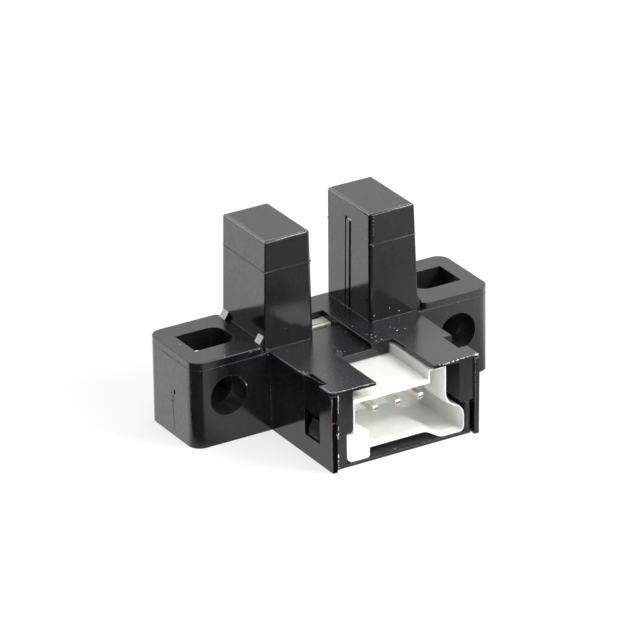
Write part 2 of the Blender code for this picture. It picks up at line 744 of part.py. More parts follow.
def lens_shape(side):
    """A shallow round lens on the face that looks into the slot."""
    ball = (LENS_RADIUS ** 2 + LENS_PROUD ** 2) / (2 * LENS_PROUD)
    spread = math.asin(LENS_RADIUS / ball)
    centre_z = PACKAGE_TOP - LENS_FROM_TOP
    sections = [(PACKAGE_FACE + ROOT, LENS_RADIUS)]
    for step in range(ARC_STEPS, 0, -1):
        angle = spread * step / ARC_STEPS
        sections.append((PACKAGE_FACE - LENS_PROUD + ball * (1 - math.cos(angle)), ball * math.sin(angle)))
    shape = bmesh.new()
    rings = []
    for x, radius in sections:
        ring = [shape.verts.new((side * x, y, z)) for y, z in circle(SLIT_Y, centre_z, radius, ROUND_SIDES)]
        rings.append(ring)
    tip = shape.verts.new((side * (PACKAGE_FACE - LENS_PROUD), SLIT_Y, centre_z))
    shape.faces.new(rings[0])
    for index in range(ROUND_SIDES):
        following = (index + 1) % ROUND_SIDES
        for outer, inner in zip(rings, rings[1:]):
            shape.faces.new((outer[index], outer[following], inner[following], inner[index]))
        shape.faces.new((rings[-1][index], rings[-1][following], tip))
    return shape


def make_package(name, side, places, material):
    """An optical package with chamfered corners, a lens and blind holes for its leads."""
    half = PACKAGE_WIDTH / 2
    face = PACKAGE_FACE
    back = PACKAGE_FACE + PACKAGE_THICKNESS
    chamfer = PACKAGE_CHAMFER
    outline = [(face, SLIT_Y - half), (back - chamfer, SLIT_Y - half), (back, SLIT_Y - half + chamfer)]
    outline += [(back, SLIT_Y + half - chamfer), (back - chamfer, SLIT_Y + half), (face, SLIT_Y + half)]
    shape = prism(mirrored(outline, side), "Z", PACKAGE_BOTTOM, PACKAGE_TOP)
    package = make_object(name, shape, material)
    add(package, lens_shape(side), "lens")
    holes = bmesh.new()
    reach = LEAD_SIDE / 2 + LEAD_CLEARANCE
    top = PACKAGE_BOTTOM + LEAD_SEAT + LEAD_CLEARANCE
    for y in places:
        x = side * LEAD_X
        box(x - reach, x + reach, y - reach, y + reach, PACKAGE_BOTTOM - OVERSHOOT, top, holes)
    cut(package, holes, "lead_holes")
    return package


def make_lead(name, x, y, material):
    """A straight lead from the package down through the board."""
    half = LEAD_SIDE / 2
    low = BOARD_BOTTOM - LEAD_TAIL
    shape = box(x - half, x + half, y - half, y + half, low, PACKAGE_BOTTOM + LEAD_SEAT)
    return make_object(name, shape, material)


def make_solder(name, x, y, side, plane, height, material):
    """A cone of solder round a square wire, upwards or downwards from the board's face."""
    bore = max(side, LEAD_SIDE) / math.sqrt(2) + SOLDER_GAP
    direction = 1 if plane == BOARD_TOP else -1
    base = plane + direction * CHIP_GAP
    tip = base + direction * height
    shoulder = base + direction * height * SOLDER_SHOULDER
    sections = [(bore, base), (SOLDER_RADIUS, base), (bore + SOLDER_NECK, shoulder)]
    sections += [(bore + SOLDER_LIP, tip), (bore, tip)]
    shape = bmesh.new()
    rings = []
    for radius, z in sections:
        rings.append([shape.verts.new((u, v, z)) for u, v in circle(x, y, radius, ROUND_SIDES)])
    for first, second in zip(rings, rings[1:] + rings[:1]):
        for index in range(ROUND_SIDES):
            following = (index + 1) % ROUND_SIDES
            shape.faces.new((first[index], first[following], second[following], second[index]))
    return make_object(name, shape, material, smooth=True)


def make_chip(name, x, y, plane, size, material):
    """A chip part with a metallised terminal at each end, on the board's top or bottom face."""
    length, width, height = size
    direction = 1 if plane == BOARD_TOP else -1
    low = plane + direction * CHIP_GAP
    high = low + direction * height
    body_low = low + direction * TERMINAL_STEP
    body_high = high - direction * TERMINAL_STEP
    end = length / 2
    inner = end - CHIP_TERMINAL
    outline = [(-end, low), (-inner, low), (-inner, body_low), (inner, body_low), (inner, low), (end, low)]
    outline += [(end, high), (inner, high), (inner, body_high), (-inner, body_high)]
    outline += [(-inner, high), (-end, high)]
    outline = [(x + u, v) for u, v in outline]
    return make_object(name, prism(outline, "Y", y - width / 2, y + width / 2), material)


def make_wiring(gold, tin, solder):
    """Pins, leads and the solder that holds them."""
    for index, x in enumerate(pin_places(), 1):
        make_pin(index, x, gold)
        make_solder("header_solder_%d" % index, x, PIN_BEND_Y, PIN_SIDE, BOARD_TOP, SOLDER_HEIGHT, solder)
    rows = (("emitter", -LEAD_X, EMITTER_PITCH, 2), ("detector", LEAD_X, DETECTOR_PITCH, 3))
    for label, x, pitch, count in rows:
        for index, y in enumerate(lead_places(pitch, count), 1):
            make_lead("%s_lead_%d" % (label, index), x, y, tin)
            name = "%s_solder_%d" % (label, index)
            make_solder(name, x, y, LEAD_SIDE, BOARD_BOTTOM, SOLDER_TAIL, solder)


def main():
    clear_scene()
    black = make_material("housing_plastic", (0.028, 0.028, 0.030), 0.38)
    cover_black = make_material("cover_plastic", (0.026, 0.026, 0.027), 0.45)
    white = make_material("header_plastic", (0.86, 0.86, 0.83), 0.42)
    gold = make_material("pin_gold", (0.83, 0.66, 0.32), 0.28, 1.0)
    tin = make_material("lead_tin", (0.72, 0.72, 0.70), 0.35, 1.0)
    solder = make_material("solder", (0.66, 0.66, 0.66), 0.30, 1.0)
    board = make_material("board_laminate", (0.10, 0.22, 0.10), 0.50)
    emitter = make_material("emitter_epoxy", (0.42, 0.46, 0.62), 0.18)
    detector = make_material("detector_epoxy", (0.03, 0.03, 0.04), 0.20)
    lamp = make_material("indicator_body", (0.72, 0.76, 0.66), 0.35)
    resistor = make_material("resistor_body", (0.05, 0.05, 0.06), 0.40)
    capacitor = make_material("capacitor_body", (0.45, 0.33, 0.20), 0.45)

    make_housing(black)
    make_cover(cover_black)
    make_header(white)
    make_board(board)
    make_wiring(gold, tin, solder)
    make_package("emitter_package", -1, lead_places(EMITTER_PITCH, 2), emitter)
    make_package("detector_package", 1, lead_places(DETECTOR_PITCH, 3), detector)

    lamp_y = ARM_BACK - INDICATOR_FROM_BACK
    make_chip("indicator_led", INDICATOR_X, lamp_y, BOARD_TOP, INDICATOR, lamp)
    row = (("emitter_resistor", RESISTOR, resistor), ("indicator_resistor", RESISTOR, resistor),
           ("bypass_capacitor", CAPACITOR, capacitor))
    for place_index, (name, size, material) in enumerate(row, -1):
        x = place_index * CHIP_PITCH
        make_chip(name, x, BOARD_FRONT + CHIP_FROM_EDGE, BOARD_BOTTOM, size, material)


main()
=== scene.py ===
"""Studio view of the slotted optical switch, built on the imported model.

Sizes are millimetres in the part's own frame and are turned into metres where a mesh is made.
X runs from the left arm to the right arm, -Y is the connector's side and +Z is up.
"""
import math
import random

import bmesh
import bpy
from mathutils import Matrix, Vector
from mathutils.bvhtree import BVHTree


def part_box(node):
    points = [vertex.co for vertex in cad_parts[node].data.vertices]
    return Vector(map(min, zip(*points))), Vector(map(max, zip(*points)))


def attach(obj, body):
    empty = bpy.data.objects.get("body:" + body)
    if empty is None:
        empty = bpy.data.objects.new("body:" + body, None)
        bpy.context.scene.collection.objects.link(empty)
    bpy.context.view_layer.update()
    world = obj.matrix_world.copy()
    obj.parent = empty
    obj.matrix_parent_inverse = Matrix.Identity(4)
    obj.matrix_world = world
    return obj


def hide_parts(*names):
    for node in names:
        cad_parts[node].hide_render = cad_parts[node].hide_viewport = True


MM = 0.001
SEED = 7

# Camera of the photograph
CAMERA_AZIMUTH = -31.0013
CAMERA_ELEVATION = 25.2414
CAMERA_ROLL = -0.6984
CAMERA_DISTANCE = 442.17
CAMERA_TARGET = (-0.4013, 3.8134, 6.4949)
CAMERA_LENS = 326.945
SENSOR_WIDTH = 36.0
IMAGE_SIDE = 640
CAMERA_CLIP = (0.01, 10.0)

# Main planes of the switch
BODY_HEIGHT = 6.555
ARM_TOP = 15.46
ARM_HEIGHT = ARM_TOP - BODY_HEIGHT
SLOT_HALF = 2.5
SLOT_DRAFT = 0.14
ARM_OUTER = 6.84
ARM_OUTER_DRAFT = 0.265
ARM_FRONT = 1.25
ARM_BACK = 7.42
ARM_LEAN = 0.13
EAR_HALF = 13.2
EAR_FRONT = 0.94
EAR_BACK = 7.90
EAR_CORNER = 1.0
EAR_HEIGHT = 7.11
EAR_ROOT = 6.9
EAR_CORE = (8.1, 11.9)
BLOCK_FRONT = -7.9
BLOCK_HALF = 6.45
WALL_INNER = 6.05
RIB_FRONT = -7.78
RIB_TOP = 6.2
SEAM_WIDTH = 0.26
SEAM_PROUD = 0.012
SEAM_BOTTOM = 0.1

# The strip beside the slit in each arm's inner face, and the white plate at its top, a painted glint
STRIP_Y = (4.43, 4.92)
STRIP_SILL = 0.06
STRIP_TOP = 13.84
STRIP_DEPTHS = (0.045, 0.125)
GLINT_Y = (4.12, 4.60)
GLINT_Z = (13.88, 14.02)
GLINT_DEPTHS = (0.02, 0.08)

# The tones that glossy rays see on the floor, as on bright and dark cards beside the switch.
# Behind, the floor brightens from DARK_Y to BRIGHT_Y, along a border that runs askew left of CORNER_X.
DARK_Y = -1.0
BRIGHT_Y = 2.8
BRIGHT_TONE = 1.4
CORNER_X = -13.2
CORNER_SLOPE = 0.6
# In front it is dark left of DARK_X and pale right of BRIGHT_X, fainter far ahead, with a dip between.
DARK_X = -13.5
BRIGHT_X = -9.0
DARK_TONE = 0.08
SIDE_TONE = 0.80
AHEAD_Y = -24.0
BESIDE_Y = -7.0
AHEAD_SHARE = 0.55
DIP_X = (-1.0, 3.0, 7.0, 9.0)
DIP_NEAR = (0.95, 0.75)
DIP_SHARE = 0.35
# At the far right it brightens once more, from FAR_SIDE_X on.
FAR_SIDE_X = 12.6
FAR_SIDE_TONE = 0.95
FAR_SIDE_SHARE = 0.35

# The sky, dimmer at the left, and how white the camera sees the floor
SKY_LEFT_TONE = 0.35
SKY_TONE = 1.1
SKY_FADE = (-0.5, 0.1)
FLOOR_WHITE = 0.7
FLOOR_GLOW = 1.06
FLOOR_REACH = 2500.0

# Lamps: name, place, target, size and power
LAMPS = (
    ("key", (200, -210, 240), (0, 0, 4), (120, 90), 0.95),
    ("front", (60, -330, 80), (0, 0, 3), (120, 60), 0.24),
    ("top", (20, -40, 380), (0, 0, 6), (160, 160), 0.12),
    ("rim", (-228, 310, 95), (0, 0, 8), (190, 70), 0.24),
)

# Where the two halves of the mould met
ARM_PARTING_Z = 12.91
EAR_PARTING_Z = 6.45
PARTING_HALF_HEIGHT = 0.035
PARTING_PROUD = 0.025
PARTING_LIFT = 0.07
PARTING_ROOT = 0.02
EAR_PARTING_SHARE = 0.5
SHADOW_LINE_SHARE = 0.4

# Black plastic. Its draw lines show on the left sides, high on the arms and on the ear, where they and the
# mottling are painted paler as a painted sheen.
HOUSING_TONE = (0.0025, 0.0025, 0.003)
COVER_TONE = (0.006, 0.006, 0.007)
PLASTIC_IOR = 1.58
STREAKS_FROM_Z = 9.0
STREAKS_FADE_Z = 2.0
STREAKS_FROM_X = 12.0
STREAKS_FADE_X = 1.0
STREAK_SHARE = (0.004, 0.042)
MOTTLE_SHARE = (0.004, 0.045)
TOP_MOTTLE_SHARE = 0.022
GRIT_SHARE = 0.013
GRAIN_AND_SHEEN_TINT = (0.86, 0.88, 0.98)
SPECK_TINT = (0.30, 0.30, 0.31)
SPECK_ROUGHNESS = 0.3
TOP_DULLING = 2.4
# Settled dust, more of it toward the front
DUST_BACK_Y = -1.5
DUST_FRONT_Y = -5.0
DUST_SHARE = (0.008, 0.042)
DUST_TINT = (0.60, 0.60, 0.64)

# The moulded edges, paler where they lie high and face up: a painted highlight
EDGE_BLACK = (0.006, 0.006, 0.007)
EDGE_HIGHLIGHT = (0.62, 0.62, 0.64)
EDGE_WHITE = (0.72, 0.72, 0.73)
HIGHLIGHT_EDGES_Z = (7.5, 9.0)
LOW_EDGE_ROUGHNESS = 0.42
RUBBED_ROUGHNESS = 0.5

# Tinned ends of the chip parts: how far in from the end the tin is full, and where it stops
TIN_FULL = 0.34
TIN_END = 0.37
# Indicator lamp: pale ledge and dark joint inward from its front, clear crest at its top, pale foot
INDICATOR_LEDGE = (0.22, 0.19)
INDICATOR_JOINT_FRONT = (0.21, 0.24)
INDICATOR_JOINT_BACK = (0.34, 0.31)
INDICATOR_CREST = (0.12, 0.08)
INDICATOR_FOOT = (0.03, 0.10)

# Metals: dark tone, light tone and the range of roughness. Their streaks run along Y, along Z or nowhere.
GOLD = ((0.80, 0.75, 0.54), (0.97, 0.94, 0.80), (0.12, 0.24))
TIN = ((0.62, 0.62, 0.60), (0.84, 0.84, 0.82), (0.22, 0.38))
SOLDER = ((0.62, 0.62, 0.62), (0.80, 0.80, 0.80), (0.16, 0.32))
STREAKS_ALONG_Y = (1.0, 0.15, 1.0)
STREAKS_ALONG_Z = (1.0, 1.0, 0.15)
NO_STREAKS = (1.0, 1.0, 1.0)

# Epoxies: tone where thin, tone where thick, and how clear
EMITTER_EPOXY = ((0.40, 0.45, 0.62), (0.50, 0.55, 0.70), 0.5)
DETECTOR_EPOXY = ((0.02, 0.02, 0.03), (0.04, 0.03, 0.05), 0.0)

# Chip parts: name, body tone, half length and middle along X
CHIPS = (
    ("emitter_resistor", (0.04, 0.04, 0.05), 0.8, -3.0),
    ("indicator_resistor", (0.04, 0.04, 0.05), 0.8, 0.0),
    ("bypass_capacitor", (0.45, 0.31, 0.18), 1.0, 3.0),
)

# Rounding of the moulded edges
ARM_ROUNDING = 0.18
ARM_INNER_ROUNDING = 0.26
ARM_FLANK_ROUNDING = 0.09
ARM_REAR_ROUNDING = 0.02
EAR_ROUNDING = 0.07
ROOF_ROUNDING = 0.05
WALL_ROUNDING = 0.03
PIN_ROUNDING = 0.05
SOFT_EDGE = 0.045

# Which edges and faces of the housing are which
ARM_EDGES_FROM_Z = 8.5
ARM_MIDDLE_X = 4.5
UPRIGHT = 2.0
SLIT_Y = 4.5
SLIT_CLEAR = 0.6
SLIT_REACH_X = 3.2
EAR_EDGES_FROM_X = 7.3
EAR_RIM = 0.6
POCKET_RIM = 0.3
ROOF_HALF = 6.6
WALL_CLEAR = 0.2
FRONT_CLEAR = 0.05
LIP_DEPTH = 0.03
FACING_FRONT = -0.9
NEAR_GAP = 0.1
LEVEL_GAP = 0.02
WELD = 0.0008
FLAT_ANGLE = 0.4
SHARP_ANGLE = 30.0
SMOOTH_ANGLE = 14.0

# Crumbs, scuffs and painted glints on the plastic, by their place in the photograph, with their size in
# millimetres
BRIGHT_DUST_AND_GLINT = (0.75, 0.75, 0.75)
DULL_DUST_AND_HIGHLIGHT = (0.52, 0.52, 0.53)
RED_DUST = (0.30, 0.07, 0.04)
GLINT_WHITE = (0.95, 0.95, 0.95)
CRUMB_THICK = 0.015
CRUMB_RISE = 0.3
CRUMB_SIDES = 7
CRUMB_WIDTH = (0.45, 0.8)
CRUMB_REACH = (0.7, 1.15)
# Bright flecks: crumbs of dust, and painted glints at the arms' top corners and under the header
BRIGHT_FLECKS = (
    (347.4, 308.1, 0.075), (374.2, 315.8, 0.060), (371.4, 334.9, 0.070), (375.4, 336.5, 0.060),
    (371.9, 337.9, 0.065), (376.1, 340.7, 0.080), (381.6, 339.3, 0.070), (397.2, 330.6, 0.085),
    (390.4, 326.8, 0.055), (405.1, 328.6, 0.055), (224.5, 356.8, 0.060), (196.3, 351.4, 0.060),
    (395.0, 448.7, 0.085), (478.0, 354.0, 0.070), (309.0, 231.5, 0.060), (373.0, 246.0, 0.050),
    (399.5, 205.5, 0.055), (303.5, 371.5, 0.060), (307.0, 373.0, 0.050), (337.5, 351.0, 0.055),
    (340.0, 351.5, 0.045), (344.5, 351.5, 0.045), (310.2, 247.0, 0.045),
)
DULL_FLECKS = (
    (339.3, 318.4, 0.055), (352.3, 326.5, 0.050), (345.6, 332.1, 0.055), (366.5, 334.2, 0.055),
    (394.4, 328.2, 0.050), (399.0, 310.7, 0.070), (389.5, 307.9, 0.060), (397.5, 335.6, 0.045),
    (323.0, 378.0, 0.050), (267.0, 349.0, 0.050), (268.0, 355.0, 0.050), (274.0, 355.0, 0.050),
    (332.0, 424.0, 0.050), (337.0, 435.0, 0.050),
)
DARK_PITS = (
    (174.5, 391.8, 0.24), (171.4, 392.2, 0.12), (173.5, 396.2, 0.08), (171.7, 400.3, 0.08),
    (173.5, 399.5, 0.09), (437.0, 366.6, 0.080),
    (304.5, 352.0, 0.040), (307.0, 351.0, 0.045), (312.0, 350.5, 0.045), (316.0, 350.8, 0.050),
)
# Painted glints at the top of the right arm's slit
GLINTS = ((347.0, 220.6, 0.040), (351.0, 221.4, 0.035))
RED_CRUMBS = ((333.6, 423.6, 0.040), (334.8, 423.4, 0.050), (336.0, 423.2, 0.035))

# Lines of crumbs: start, end, number of crumbs and their size. Each may stray by a share of a step along
# the line and by part of a pixel, and its size varies.
STEP_STRAY = 0.4
PLACE_STRAY = 0.3
SIZE_RANGE = (0.5, 1.2)
# Dull crumbs along worn lines; the long line down the left wall's front corner is a painted edge highlight
WORN_AND_HIGHLIGHT_LINES = (
    ((248.5, 353.0), (264.0, 347.5), 9, 0.050),
    ((273.0, 354.0), (300.0, 371.8), 26, 0.046),
    ((306.0, 374.6), (325.0, 384.6), 18, 0.044),
    ((320.5, 386.6), (330.0, 392.6), 16, 0.052),
    ((330.0, 392.6), (340.0, 392.0), 14, 0.054),
    ((340.0, 391.8), (366.0, 385.0), 30, 0.054),
    ((366.0, 385.0), (374.5, 383.2), 9, 0.054),
    ((345.0, 351.0), (371.0, 346.0), 6, 0.036),
    ((373.0, 214.0), (373.3, 236.0), 9, 0.034),
    ((332.0, 398.0), (331.8, 468.0), 64, 0.040),
    ((270.6, 386.0), (270.8, 424.0), 15, 0.030),
    ((475.7, 358.0), (475.5, 401.0), 18, 0.028),
    ((459.5, 402.6), (474.5, 400.6), 9, 0.030),
    ((309.0, 433.4), (319.0, 439.3), 12, 0.036),
)
# White crumbs; the lines round the rim of the left ear's hole and the last one at the right flap's corner
# are painted glints
WHITE_LINES = (
    ((338.3, 396.0), (338.2, 413.5), 22, 0.042),
    ((338.6, 427.5), (338.6, 430.5), 4, 0.040),
    ((338.4, 434.0), (338.2, 439.5), 8, 0.060),
    ((338.5, 454.5), (338.5, 457.0), 4, 0.066),
    ((338.6, 460.0), (338.6, 470.0), 9, 0.042),
    ((298.5, 370.8), (306.0, 374.2), 8, 0.056),
    ((240.0, 377.4), (246.8, 385.0), 12, 0.060),
    ((244.4, 381.8), (246.8, 385.0), 6, 0.075),
    ((440.2, 364.8), (446.5, 363.8), 4, 0.080),
    ((447.5, 363.2), (456.0, 360.6), 5, 0.080),
    ((457.0, 360.0), (467.0, 356.8), 6, 0.075),
    ((468.0, 356.4), (475.0, 354.8), 4, 0.075),
    ((475.6, 354.8), (477.6, 354.5), 5, 0.100),
)
# Dark lines: the scratch below the gate mark, and the mould's parting on the left ear
DARK_LINES = (
    ((172.4, 389.0), (172.6, 401.0), 8, 0.065),
    ((172.8, 401.0), (173.6, 413.0), 16, 0.065),
    ((173.6, 413.0), (174.8, 426.0), 18, 0.060),
    ((174.8, 426.0), (172.4, 432.0), 8, 0.055),
    ((163.0, 351.0), (186.2, 367.3), 40, 0.050),
)


class Graph:
    """A material's node tree, with its Principled shader, sized in millimetres of the part."""

    def __init__(self, name):
        self.material = bpy.data.materials.new(name)
        self.material.use_nodes = True
        self.tree = self.material.node_tree
        self.shader = self.tree.nodes["Principled BSDF"]
        self.place = self.tree.nodes.new("ShaderNodeTexCoord").outputs["Object"]

    def set(self, **values):
        for key, value in values.items():
            self.shader.inputs[key.replace("_", " ")].default_value = value

    def plug(self, key, output):
        self.tree.links.new(output, self.shader.inputs[key])

    def node(self, kind, inputs=(), **settings):
        made = self.tree.nodes.new(kind)
        for key, value in settings.items():
            setattr(made, key, value)
        for key, value in dict(inputs).items():
            if isinstance(value, bpy.types.NodeSocket):
                self.tree.links.new(value, made.inputs[key])
            else:
                made.inputs[key].default_value = value
        return made

    def stretched(self, scale):
        return self.node("ShaderNodeMapping", {"Vector": self.place, "Scale": scale}).outputs["Vector"]

    def noise(self, size, detail=3.0, roughness=0.55, stretch=None):
        vector = self.stretched(stretch) if stretch else self.place
        inputs = {"Vector": vector, "Scale": 1 / (size * MM), "Detail": detail, "Roughness": roughness}
        return self.node("ShaderNodeTexNoise", inputs).outputs["Fac"]

    def cells(self, size, output="Distance", feature="F1"):
        inputs = {"Vector": self.place, "Scale": 1 / (size * MM)}
        return self.node("ShaderNodeTexVoronoi", inputs, feature=feature).outputs[output]

    def step(self, value, low, high, start=0.0, end=1.0):
        inputs = {"Value": value, "From Min": low, "From Max": high, "To Min": start, "To Max": end}
        return self.node("ShaderNodeMapRange", inputs, interpolation_type="SMOOTHSTEP").outputs["Result"]

    def math(self, operation, first, second=0.0):
        return self.node("ShaderNodeMath", {0: first, 1: second}, operation=operation).outputs["Value"]

    def axis(self, name):
        return self.node("ShaderNodeSeparateXYZ", {"Vector": self.place}).outputs[name]

    def facing(self, name):
        geometry = self.node("ShaderNodeNewGeometry").outputs["Normal"]
        return self.node("ShaderNodeSeparateXYZ", {"Vector": geometry}).outputs[name]

    def blend(self, factor, first, second):
        inputs = {"Factor": factor}
        made = self.node("ShaderNodeMix", inputs, data_type="RGBA")
        for index, value in ((6, first), (7, second)):
            if isinstance(value, bpy.types.NodeSocket):
                self.tree.links.new(value, made.inputs[index])
            else:
                made.inputs[index].default_value = (*value, 1.0)
        return made.outputs[2]

    def soft_edges(self, radius):
        return self.node("ShaderNodeBevel", {"Radius": radius * MM}, samples=6).outputs["Normal"]

    def bump(self, height, depth, normal=None):
        inputs = {"Height": height, "Strength": 1.0, "Distance": depth * MM}
        if normal is not None:
            inputs["Normal"] = normal
        return self.node("ShaderNodeBump", inputs).outputs["Normal"]

    def specks(self, size, share, radius):
        """Sparse round specks: a share of the cells carry one."""
        color = self.cells(size, "Color")
        chance = self.node("ShaderNodeSeparateColor", {"Color": color}).outputs["Red"]
        dot = self.step(self.cells(size), radius, radius * 0.5)
        return self.math("MULTIPLY", dot, self.step(chance, 1 - share, 1 - share * 0.8))


def painted_sheen_sides(graph):
    """How far a face is one of the left sides whose draw lines get a painted sheen, whatever the view."""
    high = graph.step(graph.axis("Z"), STREAKS_FROM_Z * MM, (STREAKS_FROM_Z + STREAKS_FADE_Z) * MM)
    outside = graph.step(graph.axis("X"), -STREAKS_FROM_X * MM, -(STREAKS_FROM_X + STREAKS_FADE_X) * MM)
    lit = graph.math("MAXIMUM", high, outside)
    return graph.math("MULTIPLY", graph.step(graph.facing("X"), -0.85, -0.97), lit)


def plastic_color(graph, tone, mottle, upward, specks):
    """Black with draw lines, mottling, grit, specks and settled dust over it; on the left sides the draw
    lines and mottling are painted paler, a painted sheen.
    """
    cloud = graph.noise(2.4, detail=4.0)
    grit = graph.noise(0.075, detail=2.0, roughness=0.7, stretch=(1.0, 1.0, 0.6))
    color = graph.blend(graph.step(cloud, 0.35, 0.7), [0.7 * t for t in tone], [1.3 * t for t in tone])
    # Left sides: draw lines and mottling tinted paler, a painted sheen
    sheen_side = painted_sheen_sides(graph)
    streaks = graph.step(graph.noise(0.10, roughness=0.65, stretch=(1.0, 1.0, 0.16)), 0.42, 0.68)
    share = graph.step(sheen_side, 0, 1, *STREAK_SHARE)
    color = graph.blend(graph.math("MULTIPLY", streaks, share), color, GRAIN_AND_SHEEN_TINT)
    share = graph.step(sheen_side, 0, 1, *MOTTLE_SHARE)
    share = graph.math("ADD", share, graph.step(upward, 0, 1, 0, TOP_MOTTLE_SHARE))
    mottled = graph.math("MULTIPLY", graph.step(mottle, 0.46, 0.72), share)
    color = graph.blend(mottled, color, GRAIN_AND_SHEEN_TINT)
    color = graph.blend(graph.step(grit, 0.46, 0.66, 0, GRIT_SHARE), color, GRAIN_AND_SHEEN_TINT)
    color = graph.blend(specks, color, SPECK_TINT)
    in_front = graph.step(graph.axis("Y"), DUST_BACK_Y * MM, DUST_FRONT_Y * MM, *DUST_SHARE)
    settled = graph.math("MULTIPLY", graph.step(graph.facing("Z"), 0.5, 1.0), in_front)
    return graph.blend(settled, color, DUST_TINT)


def plastic_roughness(graph, gloss, side_roughness, draw_lines, upward, specks):
    """Glossy on the upright faces, duller on the tops and on specks."""
    rough = graph.step(draw_lines, 0.3, 0.75, gloss * 0.8, gloss * 1.3)
    rough = graph.math("MULTIPLY", rough, graph.step(upward, 0, 1, 1.0, TOP_DULLING))
    rough = graph.math("ADD", rough, graph.step(specks, 0, 1, 0, SPECK_ROUGHNESS))
    flank = graph.step(graph.math("ABSOLUTE", graph.facing("X")), 0.2, 0.5, 0, side_roughness)
    return graph.math("MAXIMUM", rough, flank)


def black_plastic(name, tone, gloss, grain, side_roughness):
    """Semi-gloss moulded black plastic with a fine mould texture, draw lines and a little dust."""
    graph = Graph(name)
    draw_lines = graph.noise(0.16, roughness=0.65, stretch=(1.0, 1.0, 0.06))
    mottle = graph.noise(0.16, roughness=0.7)
    upward = graph.step(graph.facing("Z"), 0.5, 0.9)
    specks = graph.specks(0.45, share=0.012, radius=0.12)
    graph.plug("Base Color", plastic_color(graph, tone, mottle, upward, specks))
    graph.plug("Roughness", plastic_roughness(graph, gloss, side_roughness, draw_lines, upward, specks))
    normal = graph.bump(mottle, grain, graph.soft_edges(SOFT_EDGE))
    normal = graph.bump(draw_lines, grain, normal)
    normal = graph.bump(graph.noise(3.5, detail=2.0, roughness=0.5), grain * 2, normal)
    graph.plug("Normal", normal)
    graph.set(IOR=PLASTIC_IOR)
    return graph.material


def edge_plastic(name, worn, light, gloss, shine):
    """The rounded edges: a painted highlight makes them light along the tops, and they are rubbed to white
    specks in places.
    """
    graph = Graph(name)
    rub = graph.step(graph.noise(0.20, roughness=0.75), 0.68 - worn, 0.76 - worn)
    where = graph.step(graph.noise(1.6, detail=2.0, roughness=0.5), 0.36, 0.56)
    rub = graph.math("MULTIPLY", rub, where)
    level = graph.step(graph.math("ABSOLUTE", graph.facing("Z")), 0.04, 0.2, 0.3, 1.0)
    rub = graph.math("MULTIPLY", rub, level)
    # Painted highlight: paler where the edge faces up and lies high, faint where it faces the front
    upward = graph.step(graph.facing("Z"), 0.12, 0.45)
    frontward = graph.step(graph.facing("Y"), -0.2, -0.6)
    pale = graph.math("MULTIPLY", upward, graph.step(frontward, 0, 1, light, light * 0.1))
    high = graph.step(graph.axis("Z"), HIGHLIGHT_EDGES_Z[0] * MM, HIGHLIGHT_EDGES_Z[1] * MM)
    pale = graph.math("MULTIPLY", pale, graph.step(high, 0, 1, 0.4, 1))
    color = graph.blend(pale, EDGE_BLACK, EDGE_HIGHLIGHT)
    graph.plug("Base Color", graph.blend(rub, color, EDGE_WHITE))
    by_rub = graph.step(rub, 0, 1, gloss, RUBBED_ROUGHNESS)
    by_height = graph.step(high, 0, 1, LOW_EDGE_ROUGHNESS, gloss)
    graph.plug("Roughness", graph.math("MAXIMUM", by_rub, by_height))
    graph.plug("Normal", graph.bump(graph.noise(0.12, detail=2.0), 0.006))
    graph.set(IOR=PLASTIC_IOR, Specular_IOR_Level=shine)
    return graph.material


def shadow_black(name):
    """The depth of a narrow gap."""
    graph = Graph(name)
    graph.plug("Base Color", graph.blend(graph.noise(0.3), (0.001, 0.001, 0.001), (0.003, 0.003, 0.003)))
    graph.plug("Roughness", graph.step(graph.noise(0.2), 0.3, 0.7, 0.7, 0.9))
    graph.set(Specular_IOR_Level=0.02)
    return graph.material


def core_plastic(name):
    """The dull plastic inside the ears, where the mould's core pins stood."""
    graph = Graph(name)
    tool_marks = graph.noise(0.14, roughness=0.6, stretch=(1.0, 0.08, 1.0))
    graph.plug("Base Color", graph.blend(tool_marks, (0.009, 0.009, 0.010), (0.019, 0.019, 0.020)))
    graph.plug("Roughness", graph.step(tool_marks, 0.3, 0.7, 0.26, 0.42))
    graph.plug("Normal", graph.bump(tool_marks, 0.008))
    graph.set(IOR=PLASTIC_IOR, Specular_IOR_Level=0.16)
    return graph.material


def nylon(name):
    """Natural white nylon, which lets some light through."""
    graph = Graph(name)
    cloud = graph.noise(1.3, detail=4.0)
    color = graph.blend(graph.step(cloud, 0.3, 0.75), (0.81, 0.825, 0.785), (0.87, 0.88, 0.855))
    specks = graph.specks(0.5, share=0.06, radius=0.10)
    color = graph.blend(graph.math("MULTIPLY", specks, 0.3), color, (0.62, 0.60, 0.50))
    graph.plug("Base Color", color)
    graph.plug("Roughness", graph.step(graph.noise(0.4), 0.3, 0.7, 0.28, 0.42))
    normal = graph.bump(graph.noise(0.18, detail=2.0), 0.006)
    graph.plug("Normal", graph.bump(graph.noise(1.6, detail=2.0), 0.02, normal))
    graph.set(IOR=1.53)
    graph.set(Subsurface_Weight=0.55, Subsurface_Scale=0.45 * MM, Subsurface_Radius=(1.0, 0.95, 0.8))
    return graph.material


def metal(name, dark, light, roughness, streaks):
    """Drawn metal with fine lengthwise streaks and a little tarnish."""
    graph = Graph(name)
    streak = graph.noise(0.06, roughness=0.6, stretch=streaks)
    stain = graph.noise(0.5, detail=4.0)
    color = graph.blend(graph.step(streak, 0.3, 0.7), dark, light)
    shade = [0.75 * channel for channel in dark]
    color = graph.blend(graph.step(stain, 0.6, 0.8, 0, 0.5), color, shade)
    graph.plug("Base Color", color)
    graph.plug("Roughness", graph.step(streak, 0.3, 0.7, *roughness))
    graph.plug("Normal", graph.bump(streak, 0.006))
    graph.set(Metallic=1.0)
    return graph.material


